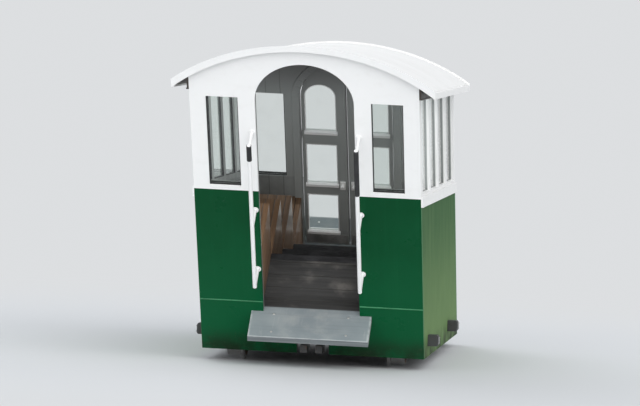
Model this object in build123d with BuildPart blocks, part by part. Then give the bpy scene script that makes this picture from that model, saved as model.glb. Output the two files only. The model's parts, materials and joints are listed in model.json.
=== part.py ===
"""Funicular car: a parallelogram body with plumb ends on a steep track.

Frame: origin on the track's centre line, level with the rail tops, midway
between the two axles. +X is across the track, +Y runs down the slope along
the rails and +Z is square to the rails. The body's posts and doors are plumb
when the track is laid at the slope angle, so in this frame they lean uphill.
Lengths are in millimetres.
"""
import os
from math import cos, radians, sin, sqrt, tan

from build123d import *

os.makedirs("parts", exist_ok=True)

# Track and slope
slope_angle = 39.0
gauge = 914.0
uphill_axle_setback = 260.0
downhill_axle_setback = 820.0
body_clearance = 50.0

# Body shell
body_beyond_gauge = 203.0
body_length = 2600.0
eaves_height = 2100.0
waist_height = 1255.0
end_wall = 45.0
side_wall = 35.0
seat_gap = 0.3

# Roof
roof_crown = 222.0
roof_board = 30.0
roof_side_overhang = 96.0
roof_end_overhang = 50.0
trim_thickness = 14.0
trim_depth = 47.0
trim_drip = 4.0
rib_depth = 50.0
rib_width = 40.0
rib_count = 3

# Doorways, the same arch at both ends
doorway_width = 570.0
springing_below_eaves = 160.0
casing_thickness = 10.0
casing_width = 45.0

# End windows, one each side of a doorway
end_window_margin = 93.0
end_window_width = 184.0
end_window_above_waist = 32.0
end_window_below_eaves = 140.0

# Side windows
side_window_count = 4
side_post_width = 100.0
side_corner_post = 80.0
side_window_above_waist = 40.0
side_window_below_eaves = 65.0
sill_band_below_waist = 63.0
sill_band_above_waist = 17.0
sill_band_thickness = 10.0
glass_thickness = 6.0
glass_setback = 20.0

# Stepped floor and benches
floor_height = 320.0
tier_count = 4
tread_thickness = 30.0
riser_thickness = 22.0
stringer_thickness = 60.0
wheel_well_clearance = 25.0
bench_height = 400.0
bench_depth = 330.0
bench_board = 28.0
bench_panel = 20.0

# Boarding boards
step_projection = 225.0
step_side_reach = 70.0
step_thickness = 37.0
step_bracket_spacing = 460.0
step_bracket_thickness = 8.0
step_bracket_reach = 170.0
step_bracket_drop = 150.0

# Grab bars beside the uphill doorway
grab_bar_radius = 12.0
grab_bar_outset = 23.0
grab_bar_stand_off = 150.0
grab_bar_above_sill = 320.0
grab_bar_above_waist = 480.0
grab_arm_radius = 10.0
grab_arm_end_setback = 12.0
grab_arm_middle_rise = 460.0
grab_top_arm_setback = 35.0
grab_grip_thickness = 2.5
grab_grip_lengths = {"left": 110.0, "right": 335.0}
grab_grip_end_gap = 5.0
grab_base_radius = 20.0
grab_base_thickness = 4.0

# Underframe
beam_width = 70.0
beam_bottom = 190.0
beam_top = 245.0
crossmember_width = 80.0
crossmember_overlap = 45.0
crossmember_from_axle = 320.0

# Axle boxes on the outside of the body
axle_box_length = 100.0
axle_box_height = 66.0
axle_box_depth = 62.0
axle_box_chamfer = 8.0
axle_box_cover = 12.0
axle_end_gap = 4.0
axle_hole_clearance = 10.0

# Wheelsets
wheel_radius = 150.0
flange_depth = 20.0
flange_thickness = 28.0
flange_play = 5.0
flange_bevel = 6.0
tread_width = 78.0
rim_depth = 25.0
web_thickness = 22.0
hub_radius = 55.0
hub_overhang = 14.0
axle_radius = 27.5
axle_shoulder = 6.0
journal_radius = 20.0
journal_clearance = 0.08

# Rope lugs under the uphill end
rope_lug_spacing = 90.0
rope_lug_thickness = 40.0
rope_lug_bottom = 62.0
rope_lug_depth = 46.0
rope_lug_nose = 130.0
rope_leg_start = -5.0
rope_leg_width = 60.0
rope_pin_radius = 13.0
rope_pin_setback = 30.0
rope_notch_width = 190.0
rope_notch_height = 85.0

# Doors in the downhill doorway
door_thickness = 30.0
door_setback = 2.0
door_edge_gap = 5.0
door_bottom_gap = 8.0
meeting_stile = 60.0
hinge_stile = 20.0
lower_pane_height = 307.0
middle_pane_height = 325.0
lower_pane_above_sill = 109.0
pane_rail = 100.0
arched_pane_below_springing = 285.0

# Door hinges and handles
lower_hinge_above_sill = 60.0
upper_hinge_below_springing = 335.0
hinge_axis_outset = 6.0
hinge_axis_proud = 8.0
knuckle_radius = 7.5
knuckle_length = 40.0
hinge_pin_radius = 4.0
hinge_pin_clearance = 0.08
hinge_ear_length = 14.0
hinge_ear_reach = 29.0
hinge_ear_gap = 0.5
hinge_ear_clearance = 3.0
strap_length = 150.0
strap_thickness = 5.0
handle_above_sill = 499.0
handle_length = 140.0
handle_radius = 7.0
handle_stand_off = 38.0
handle_post_radius = 5.0

# Worked out from the sizes above
lean = radians(slope_angle)
body_width = gauge + 2 * body_beyond_gauge
half_width = body_width / 2
half_door = doorway_width / 2
wheelbase = body_length - uphill_axle_setback - downhill_axle_setback
near_corner_y = -uphill_axle_setback - wheelbase / 2
body_run = body_length * cos(lean)
body_drop = body_length * sin(lean)
end_wall_along = end_wall / cos(lean)
tier_run = body_run / tier_count
tier_drop = body_drop / tier_count
roof_radius = (half_width**2 + roof_crown**2) / (2 * roof_crown)
roof_centre_height = eaves_height + roof_crown - roof_radius
roof_half_width = half_width + roof_side_overhang
springing_height = eaves_height - springing_below_eaves
end_window_bottom = waist_height + end_window_above_waist
end_window_top = eaves_height - end_window_below_eaves
side_window_bottom = waist_height + side_window_above_waist
side_window_top = eaves_height - side_window_below_eaves
sill_band_bottom = waist_height - sill_band_below_waist
sill_band_top = waist_height + sill_band_above_waist
inner_half_width = half_width - side_wall
beam_centre = inner_half_width - beam_width / 2
aisle_half_width = inner_half_width - bench_depth
bench_end_width = bench_depth - bench_panel - seat_gap
hinge_axis_x = half_door + hinge_axis_outset
flange_face = gauge / 2 - flange_play
rim_inner_face = flange_face - flange_thickness
rim_outer_face = flange_face + tread_width
web_middle = (rim_inner_face + rim_outer_face) / 2
flange_radius = wheel_radius + flange_depth
rim_inner_radius = wheel_radius - rim_depth
well_width = rim_outer_face - rim_inner_face + 2 * (hub_overhang + wheel_well_clearance)

across = Vector(1, 0, 0)
down_track = Vector(0, 1, 0)
level_downhill = Vector(0, cos(lean), sin(lean))
plumb_up = Vector(0, -sin(lean), cos(lean))


def body_point(x, along, height):
    """A point by its station along the track and its plumb height above the body's lower edge."""
    y = near_corner_y + along - height * sin(lean)
    z = body_clearance + height * cos(lean)
    return Vector(x, y, z)


def level_point(x, run, height):
    """A point by its level run and plumb height from the lower edge of the uphill end."""
    y = near_corner_y + run * cos(lean) - height * sin(lean)
    z = body_clearance + run * sin(lean) + height * cos(lean)
    return Vector(x, y, z)


def end_plane(along):
    """Plumb plane across the track that faces uphill: x is across, y is plumb height."""
    return Plane(body_point(0, along, 0), x_dir=across, z_dir=level_downhill * -1)


def tread_plane(run, height):
    """Level plane that faces up: x is across, y is level and downhill."""
    return Plane(level_point(0, run, height), x_dir=across, z_dir=plumb_up)


def body_outline(corners):
    """Y and Z of (along, height) corners, for a sketch on a lengthwise upright plane."""
    return [(p.Y, p.Z) for p in (body_point(0, along, height) for along, height in corners)]


def level_outline(corners):
    """Y and Z of (run, height) corners, for a sketch on a lengthwise upright plane."""
    return [(p.Y, p.Z) for p in (level_point(0, run, height) for run, height in corners)]


def height_at(run, z):
    """Plumb height of the point at a level run that lies z above the rails."""
    return (z - body_clearance - run * sin(lean)) / cos(lean)


def trace_arch(half, bottom):
    """Outline of an arched opening about the doorway's centre line."""
    Polyline((-half, springing_height), (-half, bottom), (half, bottom), (half, springing_height))
    ThreePointArc((half, springing_height), (0, springing_height + half), (-half, springing_height))


def trace_half_arch(side, inner, outer, bottom):
    """Outline of a door leaf in the arch, from x = inner to the round edge at outer."""
    top = springing_height + sqrt(outer**2 - inner**2)
    middle = outer / sqrt(2)
    Polyline(
        (side * inner, top),
        (side * inner, bottom),
        (side * outer, bottom),
        (side * outer, springing_height),
    )
    ThreePointArc(
        (side * outer, springing_height),
        (side * middle, springing_height + middle),
        (side * inner, top),
    )


def trace_round_head(side, inner, outer, bottom):
    """Outline of a door's upper pane, from x = inner to outer, with a half-round head."""
    middle = (inner + outer) / 2
    crown = springing_height + (outer - inner) / 2
    Polyline(
        (side * inner, springing_height),
        (side * inner, bottom),
        (side * outer, bottom),
        (side * outer, springing_height),
    )
    ThreePointArc(
        (side * outer, springing_height),
        (side * middle, crown),
        (side * inner, springing_height),
    )


def save(part, label):
    """Label a finished piece and write its STEP file."""
    part.label = label
    export_step(part, f"parts/{label}.step")


sides = {"left": -1, "right": 1}
axle_ys = {"uphill": -wheelbase / 2, "downhill": wheelbase / 2}

# Each end: station and run of its outer face, the way out along the run and the sill's height above
# the body's lower edge there
ends = {
    "uphill": {
        "along": 0.0,
        "run": 0.0,
        "out": -1,
        "wall_along": 0.0,
        "sill": floor_height,
    },
    "downhill": {
        "along": body_length,
        "run": body_run,
        "out": 1,
        "wall_along": body_length - end_wall_along,
        "sill": floor_height + tier_drop,
    },
}

end_window_x = half_width - end_window_margin - end_window_width / 2
end_window_height = end_window_top - end_window_bottom
end_window_middle = (end_window_top + end_window_bottom) / 2

# End walls, their window panes and boarding boards
for end, place in ends.items():
    wall = end_plane(place["wall_along"])
    face = end_plane(place["along"])
    face_run = place["run"]
    out = place["out"]
    face_drop = face_run * tan(lean)
    board_top = place["sill"] - face_drop

    with BuildPart() as end_upper:
        with BuildSketch(wall):
            with Locations((0, waist_height)):
                Rectangle(body_width, eaves_height, align=(Align.CENTER, Align.MIN))
            with Locations((0, roof_centre_height)):
                Circle(roof_radius - seat_gap, mode=Mode.INTERSECT)
        extrude(amount=end_wall_along, dir=down_track)
        with BuildSketch(face):
            with BuildLine():
                trace_arch(half_door, waist_height - end_wall * 2)
            make_face()
            with Locations((-end_window_x, end_window_middle), (end_window_x, end_window_middle)):
                Rectangle(end_window_width, end_window_height)
        extrude(amount=2 * end_wall, both=True, mode=Mode.SUBTRACT)
    save(end_upper.part, f"end_upper_{end}")

    with BuildPart() as end_lower:
        with BuildSketch(wall):
            for side in sides.values():
                with Locations((side * (half_width + half_door) / 2, waist_height / 2)):
                    Rectangle(half_width - half_door, waist_height)
        extrude(amount=end_wall_along, dir=down_track)
    save(end_lower.part, f"end_lower_{end}")

    inner_run = face_run - out * end_wall
    apron_top = board_top - step_thickness
    with BuildPart() as end_apron:
        with BuildSketch(Plane.YZ.offset(-half_door)):
            with BuildLine():
                Polyline(
                    *level_outline(
                        [
                            (face_run, -face_drop),
                            (inner_run, -inner_run * tan(lean)),
                            (inner_run, apron_top),
                            (face_run, apron_top),
                        ]
                    ),
                    close=True,
                )
            make_face()
        extrude(amount=doorway_width)
        if end == "uphill":
            with BuildSketch(face):
                Rectangle(rope_notch_width, 2 * rope_notch_height)
            extrude(amount=2 * end_wall, both=True, mode=Mode.SUBTRACT)
    save(end_apron.part, f"end_apron_{end}")

    with BuildPart() as end_panes:
        with BuildSketch(face.offset(out * glass_setback)):
            with Locations((-end_window_x, end_window_middle), (end_window_x, end_window_middle)):
                Rectangle(end_window_width - 2 * seat_gap, end_window_height - 2 * seat_gap)
        extrude(amount=out * glass_thickness)
    save(end_panes.part, f"window_panes_{end}")

    with BuildPart() as step_board:
        with BuildSketch(tread_plane(0, board_top)):
            with Locations((0, face_run + out * step_projection / 2)):
                Rectangle(doorway_width + 2 * step_side_reach, step_projection)
            with Locations((0, face_run - out * end_wall / 2)):
                Rectangle(doorway_width - 2 * seat_gap, end_wall)
        extrude(amount=-step_thickness)
    save(step_board.part, f"step_board_{end}")

    with BuildPart() as step_brackets:
        for side in sides.values():
            inside = side * step_bracket_spacing / 2 - step_bracket_thickness / 2
            with BuildSketch(Plane.YZ.offset(inside)):
                with BuildLine():
                    Polyline(
                        *level_outline(
                            [
                                (face_run, apron_top),
                                (face_run + out * step_bracket_reach, apron_top),
                                (face_run, apron_top - step_bracket_drop),
                            ]
                        ),
                        close=True,
                    )
                make_face()
            extrude(amount=step_bracket_thickness)
    save(step_brackets.part, f"step_brackets_{end}")

# Casing round the downhill doorway, outside the door hinges
casing_half = half_door + hinge_axis_outset + hinge_ear_reach + hinge_ear_clearance
with BuildPart() as door_casing:
    with BuildSketch(end_plane(body_length)):
        with BuildLine():
            trace_arch(casing_half + casing_width, ends["downhill"]["sill"] + seat_gap)
        make_face()
        with BuildLine():
            trace_arch(casing_half, ends["downhill"]["sill"] - casing_thickness)
        make_face(mode=Mode.SUBTRACT)
    extrude(amount=-casing_thickness)
save(door_casing.part, "door_casing")

# Side walls: lower panel, upper window frame, sill band and panes
frame_start = end_wall_along
frame_end = body_length - end_wall_along
window_length = (
    frame_end - frame_start - 2 * side_corner_post - (side_window_count - 1) * side_post_width
) / side_window_count
window_starts = [
    frame_start + side_corner_post + i * (window_length + side_post_width)
    for i in range(side_window_count)
]

for name, side in sides.items():
    outer_x = side * half_width

    with BuildPart() as side_panel:
        with BuildSketch(Plane.YZ.offset(outer_x)):
            with BuildLine():
                Polyline(
                    *body_outline(
                        [
                            (frame_start, 0),
                            (frame_end, 0),
                            (frame_end, waist_height),
                            (frame_start, waist_height),
                        ]
                    ),
                    close=True,
                )
            make_face()
            for axle_y in axle_ys.values():
                with Locations((axle_y, wheel_radius)):
                    Circle(journal_radius + axle_hole_clearance, mode=Mode.SUBTRACT)
        extrude(amount=-side * side_wall)
    save(side_panel.part, f"side_panel_{name}")

    with BuildPart() as side_frame:
        with BuildSketch(end_plane(frame_start)):
            with Locations((side * (half_width - side_wall / 2), waist_height)):
                Rectangle(side_wall, eaves_height, align=(Align.CENTER, Align.MIN))
            with Locations((0, roof_centre_height)):
                Circle(roof_radius - seat_gap, mode=Mode.INTERSECT)
        extrude(amount=frame_end - frame_start, dir=down_track)
        with BuildSketch(Plane.YZ.offset(outer_x)):
            for start in window_starts:
                with BuildLine():
                    Polyline(
                        *body_outline(
                            [
                                (start, side_window_bottom),
                                (start + window_length, side_window_bottom),
                                (start + window_length, side_window_top),
                                (start, side_window_top),
                            ]
                        ),
                        close=True,
                    )
                make_face()
        extrude(amount=2 * side_wall, both=True, mode=Mode.SUBTRACT)
    save(side_frame.part, f"side_frame_{name}")

    with BuildPart() as sill_band:
        with BuildSketch(Plane.YZ.offset(outer_x)):
            with BuildLine():
                Polyline(
                    *body_outline(
                        [
                            (0, sill_band_bottom),
                            (body_length, sill_band_bottom),
                            (body_length, sill_band_top),
                            (0, sill_band_top),
                        ]
                    ),
                    close=True,
                )
            make_face()
        extrude(amount=side * sill_band_thickness)
    save(sill_band.part, f"sill_band_{name}")

    with BuildPart() as side_panes:
        with BuildSketch(Plane.YZ.offset(side * (half_width - glass_setback))):
            for start in window_starts:
                with BuildLine():
                    Polyline(
                        *body_outline(
                            [
                                (start + seat_gap, side_window_bottom + seat_gap),
                                (start + window_length - seat_gap, side_window_bottom + seat_gap),
                                (start + window_length - seat_gap, side_window_top - seat_gap),
                                (start + seat_gap, side_window_top - seat_gap),
                            ]
                        ),
                        close=True,
                    )
                make_face()
        extrude(amount=-side * glass_thickness)
    save(side_panes.part, f"window_panes_{name}")

# Barrel roof: shell, trim round its edge and ribs under it
roof_start = -roof_end_overhang + trim_thickness
roof_end = body_length + roof_end_overhang - trim_thickness
shell_half_width = roof_half_width - trim_thickness
roof_section_height = 2 * roof_radius

with BuildPart() as roof_shell:
    with BuildSketch(end_plane(roof_start)):
        with Locations((0, roof_centre_height)):
            Circle(roof_radius + roof_board)
            Circle(roof_radius, mode=Mode.SUBTRACT)
            Rectangle(
                2 * shell_half_width,
                roof_section_height,
                align=(Align.CENTER, Align.MIN),
                mode=Mode.INTERSECT,
            )
    extrude(amount=roof_end - roof_start, dir=down_track)
save(roof_shell.part, "roof_shell")

with BuildPart() as roof_end_trim:
    for start in (-roof_end_overhang, roof_end):
        with BuildSketch(end_plane(start)):
            with Locations((0, roof_centre_height)):
                Circle(roof_radius - trim_drip + trim_depth)
                Circle(roof_radius - trim_drip, mode=Mode.SUBTRACT)
                Rectangle(
                    2 * roof_half_width,
                    roof_section_height,
                    align=(Align.CENTER, Align.MIN),
                    mode=Mode.INTERSECT,
                )
        extrude(amount=trim_thickness, dir=down_track)
save(roof_end_trim.part, "roof_end_trim")

eaves_edge_height = roof_centre_height + sqrt(roof_radius**2 - shell_half_width**2)
with BuildPart() as roof_eaves_trim:
    with BuildSketch(end_plane(roof_start)):
        for side in sides.values():
            trim_x = side * (roof_half_width - trim_thickness / 2)
            with Locations((trim_x, eaves_edge_height - trim_thickness)):
                Rectangle(trim_thickness, trim_depth, align=(Align.CENTER, Align.MIN))
    extrude(amount=roof_end - roof_start, dir=down_track)
save(roof_eaves_trim.part, "roof_eaves_trim")

with BuildPart() as roof_ribs:
    for i in range(rib_count):
        rib_along = body_length * (i + 1) / (rib_count + 1) - rib_width / 2
        with BuildSketch(end_plane(rib_along)):
            with Locations((0, roof_centre_height)):
                Circle(roof_radius - seat_gap)
                Circle(roof_radius - rib_depth, mode=Mode.SUBTRACT)
                Rectangle(
                    2 * (inner_half_width - seat_gap),
                    roof_section_height,
                    align=(Align.CENTER, Align.MIN),
                    mode=Mode.INTERSECT,
                )
        extrude(amount=rib_width, dir=down_track)
save(roof_ribs.part, "roof_ribs")

# Stepped floor: level treads, risers between them, wheel wells in both and stringers under them
tier_tops = [floor_height - i * tier_drop for i in range(tier_count)]
tier_starts = [end_wall] + [i * tier_run for i in range(1, tier_count)]
tier_ends = [i * tier_run for i in range(1, tier_count)] + [body_run - end_wall]

with BuildPart() as wheel_wells:
    for side in sides.values():
        with BuildSketch(Plane.YZ.offset(side * web_middle - well_width / 2)):
            with Locations(*[(axle_y, wheel_radius) for axle_y in axle_ys.values()]):
                Circle(flange_radius + wheel_well_clearance)
        extrude(amount=well_width)

with BuildPart() as floor_treads:
    for i in range(tier_count):
        tread_start = tier_starts[i] - (riser_thickness if i else 0)
        with BuildSketch(tread_plane(tread_start, tier_tops[i])):
            Rectangle(
                2 * inner_half_width,
                tier_ends[i] - tread_start,
                align=(Align.CENTER, Align.MIN),
            )
        extrude(amount=-tread_thickness)
    add(wheel_wells.part, mode=Mode.SUBTRACT)
save(floor_treads.part, "floor_treads")

with BuildPart() as floor_risers:
    for i in range(1, tier_count):
        with BuildSketch(tread_plane(tier_starts[i] - riser_thickness, tier_tops[i])):
            Rectangle(2 * inner_half_width, riser_thickness, align=(Align.CENTER, Align.MIN))
        extrude(amount=tier_drop - tread_thickness)
    add(wheel_wells.part, mode=Mode.SUBTRACT)
save(floor_risers.part, "floor_risers")

sawtooth = []
for i in range(tier_count):
    tooth_start = tier_starts[i] - (riser_thickness if i else 0)
    tooth_end = tier_ends[i] - (riser_thickness if i < tier_count - 1 else 0)
    tooth_top = tier_tops[i] - tread_thickness
    sawtooth += [(tooth_start, tooth_top), (tooth_end, tooth_top)]
sawtooth.append((tier_ends[-1], height_at(tier_ends[-1], beam_top)))
sawtooth.append((tier_starts[0], height_at(tier_starts[0], beam_top)))

with BuildPart() as floor_stringers:
    for side in sides.values():
        with BuildSketch(Plane.YZ.offset(side * beam_centre - stringer_thickness / 2)):
            with BuildLine():
                Polyline(*level_outline(sawtooth), close=True)
            make_face()
        extrude(amount=stringer_thickness)
save(floor_stringers.part, "floor_stringers")

# Benches along both sides, one to a tier, with boxed fronts and closed downhill ends
for name, side in sides.items():
    with BuildPart() as bench_seats:
        for i in range(tier_count):
            with BuildSketch(tread_plane(tier_starts[i], tier_tops[i] + bench_height)):
                with Locations((side * (aisle_half_width + bench_depth / 2), 0)):
                    Rectangle(
                        bench_depth,
                        tier_ends[i] - tier_starts[i],
                        align=(Align.CENTER, Align.MIN),
                    )
            extrude(amount=-bench_board)
    save(bench_seats.part, f"bench_seats_{name}")

    with BuildPart() as bench_fronts:
        for i in range(tier_count):
            bench_length = tier_ends[i] - tier_starts[i]
            with BuildSketch(tread_plane(tier_starts[i], tier_tops[i])):
                with Locations((side * (aisle_half_width + bench_panel / 2), 0)):
                    Rectangle(bench_panel, bench_length, align=(Align.CENTER, Align.MIN))
                if i < tier_count - 1:
                    with Locations((side * (inner_half_width - bench_end_width / 2), bench_length)):
                        Rectangle(bench_end_width, bench_panel, align=(Align.CENTER, Align.MAX))
            extrude(amount=bench_height - bench_board)
    save(bench_fronts.part, f"bench_fronts_{name}")

# Grab bars beside the uphill doorway, on level arms shaped round them, with sleeves at their upper ends
grab_bar_x = half_door + grab_bar_outset
grab_bar_run = -grab_bar_stand_off
grab_bar_bottom = floor_height + grab_bar_above_sill
grab_bar_top = waist_height + grab_bar_above_waist
grip_radius = grab_bar_radius + seat_gap + grab_grip_thickness
lowest_arm = grab_bar_bottom + grab_arm_end_setback
grab_arms = [  # height and the radius of what the arm's end meets
    (lowest_arm, grab_bar_radius),
    (lowest_arm + grab_arm_middle_rise, grab_bar_radius),
    (grab_bar_top - grab_top_arm_setback, grip_radius),
]

with BuildPart() as grab_bars:
    with BuildSketch(tread_plane(grab_bar_run, grab_bar_bottom)):
        with Locations((-grab_bar_x, 0), (grab_bar_x, 0)):
            Circle(grab_bar_radius)
    extrude(amount=grab_bar_top - grab_bar_bottom)
    fillet(grab_bars.edges().filter_by(GeomType.CIRCLE), radius=grab_bar_radius / 3)
save(grab_bars.part, "grab_bars")

with BuildPart() as grab_bar_grips:
    for name, side in sides.items():
        grip_top = grab_bar_top - grab_grip_end_gap
        with BuildSketch(tread_plane(grab_bar_run, grip_top)):
            with Locations((side * grab_bar_x, 0)):
                Circle(grip_radius)
                Circle(grab_bar_radius + seat_gap, mode=Mode.SUBTRACT)
        extrude(amount=-grab_grip_lengths[name])
save(grab_bar_grips.part, "grab_bar_grips")

with BuildPart() as grab_bar_arms:
    for arm_height, end_radius in grab_arms:
        for side in sides.values():
            with BuildSketch(end_plane(0)):
                with Locations((side * grab_bar_x, arm_height)):
                    Circle(grab_base_radius)
            extrude(amount=grab_base_thickness)
            with BuildSketch(end_plane(0)):
                with Locations((side * grab_bar_x, arm_height)):
                    Circle(grab_arm_radius)
            extrude(amount=grab_bar_stand_off)
            with BuildSketch(tread_plane(grab_bar_run, arm_height - 2 * grab_arm_radius)):
                with Locations((side * grab_bar_x, 0)):
                    Circle(end_radius + seat_gap)
            extrude(amount=4 * grab_arm_radius, mode=Mode.SUBTRACT)
save(grab_bar_arms.part, "grab_bar_arms")

# Underframe: beams inside the side walls and crossmembers clear of the wheels
beam_end_run = body_run - end_wall
beam_end = level_point(0, beam_end_run, height_at(beam_end_run, beam_top))
beam_corners = [
    (end_wall, beam_bottom),
    (beam_end_run, beam_bottom),
    (beam_end_run, beam_top),
    (end_wall, beam_top),
]
beam_depth = beam_top - beam_bottom
beam_inner = beam_centre - beam_width / 2

with BuildPart() as frame_beams:
    for side in sides.values():
        with BuildSketch(Plane.YZ.offset(side * beam_centre - beam_width / 2)):
            with BuildLine():
                Polyline(*level_outline([(run, height_at(run, z)) for run, z in beam_corners]), close=True)
            make_face()
        extrude(amount=beam_width)
save(frame_beams.part, "frame_beams")

crossmember_ys = [
    near_corner_y - crossmember_overlap + crossmember_width / 2,
    axle_ys["uphill"] + crossmember_from_axle,
    0,
    axle_ys["downhill"] - crossmember_from_axle,
    beam_end.Y - crossmember_width / 2,
]
with BuildPart() as frame_crossmembers:
    with BuildSketch(Plane.XY.offset(beam_bottom)):
        with Locations(*[(0, y) for y in crossmember_ys]):
            Rectangle(2 * beam_inner, crossmember_width)
    extrude(amount=beam_depth)
save(frame_crossmembers.part, "frame_crossmembers")

with BuildPart() as axle_boxes:
    for side in sides.values():
        for axle_y in axle_ys.values():
            with BuildSketch(Plane.YZ.offset(side * half_width)):
                with Locations((axle_y, wheel_radius)):
                    Rectangle(axle_box_length, axle_box_height)
            extrude(amount=side * axle_box_depth)
    cover_x = half_width + axle_box_depth
    cover_edges = axle_boxes.edges().filter_by(lambda e: abs(abs(e.center().X) - cover_x) < seat_gap)
    chamfer(cover_edges, length=axle_box_chamfer)
    for side in sides.values():
        for axle_y in axle_ys.values():
            with BuildSketch(Plane.YZ.offset(side * half_width)):
                with Locations((axle_y, wheel_radius)):
                    Circle(journal_radius + journal_clearance)
            extrude(amount=side * (axle_box_depth - axle_box_cover), mode=Mode.SUBTRACT)
save(axle_boxes.part, "axle_boxes")

# Wheelsets: flanged wheels on an axle with a thinner journal at each end
wheel_section = [  # distance across the track and radius, round the section
    (rim_inner_face - hub_overhang, axle_radius),
    (rim_inner_face - hub_overhang, hub_radius),
    (web_middle - web_thickness / 2, hub_radius),
    (web_middle - web_thickness / 2, rim_inner_radius),
    (rim_inner_face, rim_inner_radius),
    (rim_inner_face, flange_radius - flange_bevel),
    (rim_inner_face + flange_bevel, flange_radius),
    (flange_face - flange_bevel, flange_radius),
    (flange_face, wheel_radius),
    (rim_outer_face, wheel_radius),
    (rim_outer_face, rim_inner_radius),
    (web_middle + web_thickness / 2, rim_inner_radius),
    (web_middle + web_thickness / 2, hub_radius),
    (rim_outer_face + hub_overhang, hub_radius),
    (rim_outer_face + hub_overhang, axle_radius),
]

for end, axle_y in axle_ys.items():
    axle_section_plane = Plane((0, axle_y, wheel_radius), x_dir=across, z_dir=(0, -1, 0))
    axle_line = Axis((0, axle_y, wheel_radius), (1, 0, 0))

    with BuildPart() as wheels:
        with BuildSketch(axle_section_plane):
            for side in sides.values():
                with BuildLine():
                    Polyline(*[(side * x, radius) for x, radius in wheel_section], close=True)
                make_face()
        revolve(axis=axle_line)
    save(wheels.part, f"wheels_{end}")

    axle_half = half_width + axle_box_depth - axle_box_cover - axle_end_gap
    seat_half = rim_outer_face + hub_overhang + axle_shoulder
    with BuildPart() as axle:
        for half, radius in ((seat_half, axle_radius), (axle_half, journal_radius)):
            with BuildSketch(Plane.YZ.offset(-half)):
                with Locations((axle_y, wheel_radius)):
                    Circle(radius)
            extrude(amount=2 * half)
    save(axle.part, f"axle_{end}")

# Rope lugs: two eyed plates under the uphill crossmember
lug_top = rope_lug_bottom + rope_lug_depth
leg_end = near_corner_y + rope_leg_start + rope_leg_width
lug_outline = [
    (near_corner_y - rope_lug_nose, rope_lug_bottom),
    (leg_end, rope_lug_bottom),
    (leg_end, beam_bottom),
    (near_corner_y + rope_leg_start, beam_bottom),
    (near_corner_y + rope_leg_start, lug_top),
    (near_corner_y - rope_lug_nose, lug_top),
]
rope_pin_y = near_corner_y - rope_lug_nose + rope_pin_setback
rope_pin_z = rope_lug_bottom + rope_lug_depth / 2
with BuildPart() as rope_lugs:
    for side in sides.values():
        lug_x = side * rope_lug_spacing / 2 - rope_lug_thickness / 2
        with BuildSketch(Plane.YZ.offset(lug_x)):
            with BuildLine():
                Polyline(*lug_outline, close=True)
            make_face()
            with Locations((rope_pin_y, rope_pin_z)):
                Circle(rope_pin_radius, mode=Mode.SUBTRACT)
        extrude(amount=rope_lug_thickness)
save(rope_lugs.part, "rope_lugs")

# Doors in the downhill doorway
door_face = end_plane(body_length).offset(door_setback)
door_half = half_door - door_edge_gap
door_bottom = ends["downhill"]["sill"] + door_bottom_gap
pane_inner = door_edge_gap + meeting_stile
pane_outer = door_half - hinge_stile
arched_pane_bottom = springing_height - arched_pane_below_springing
middle_pane_top = arched_pane_bottom - pane_rail
lower_pane_bottom = ends["downhill"]["sill"] + lower_pane_above_sill
square_panes = [  # bottom and top of each
    (lower_pane_bottom, lower_pane_bottom + lower_pane_height),
    (middle_pane_top - middle_pane_height, middle_pane_top),
]
hinge_heights = [
    ends["downhill"]["sill"] + lower_hinge_above_sill,
    springing_height - upper_hinge_below_springing,
]
handle_height = ends["downhill"]["sill"] + handle_above_sill
hinge_run = body_run + hinge_axis_proud
strap_run = body_run - door_setback

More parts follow.
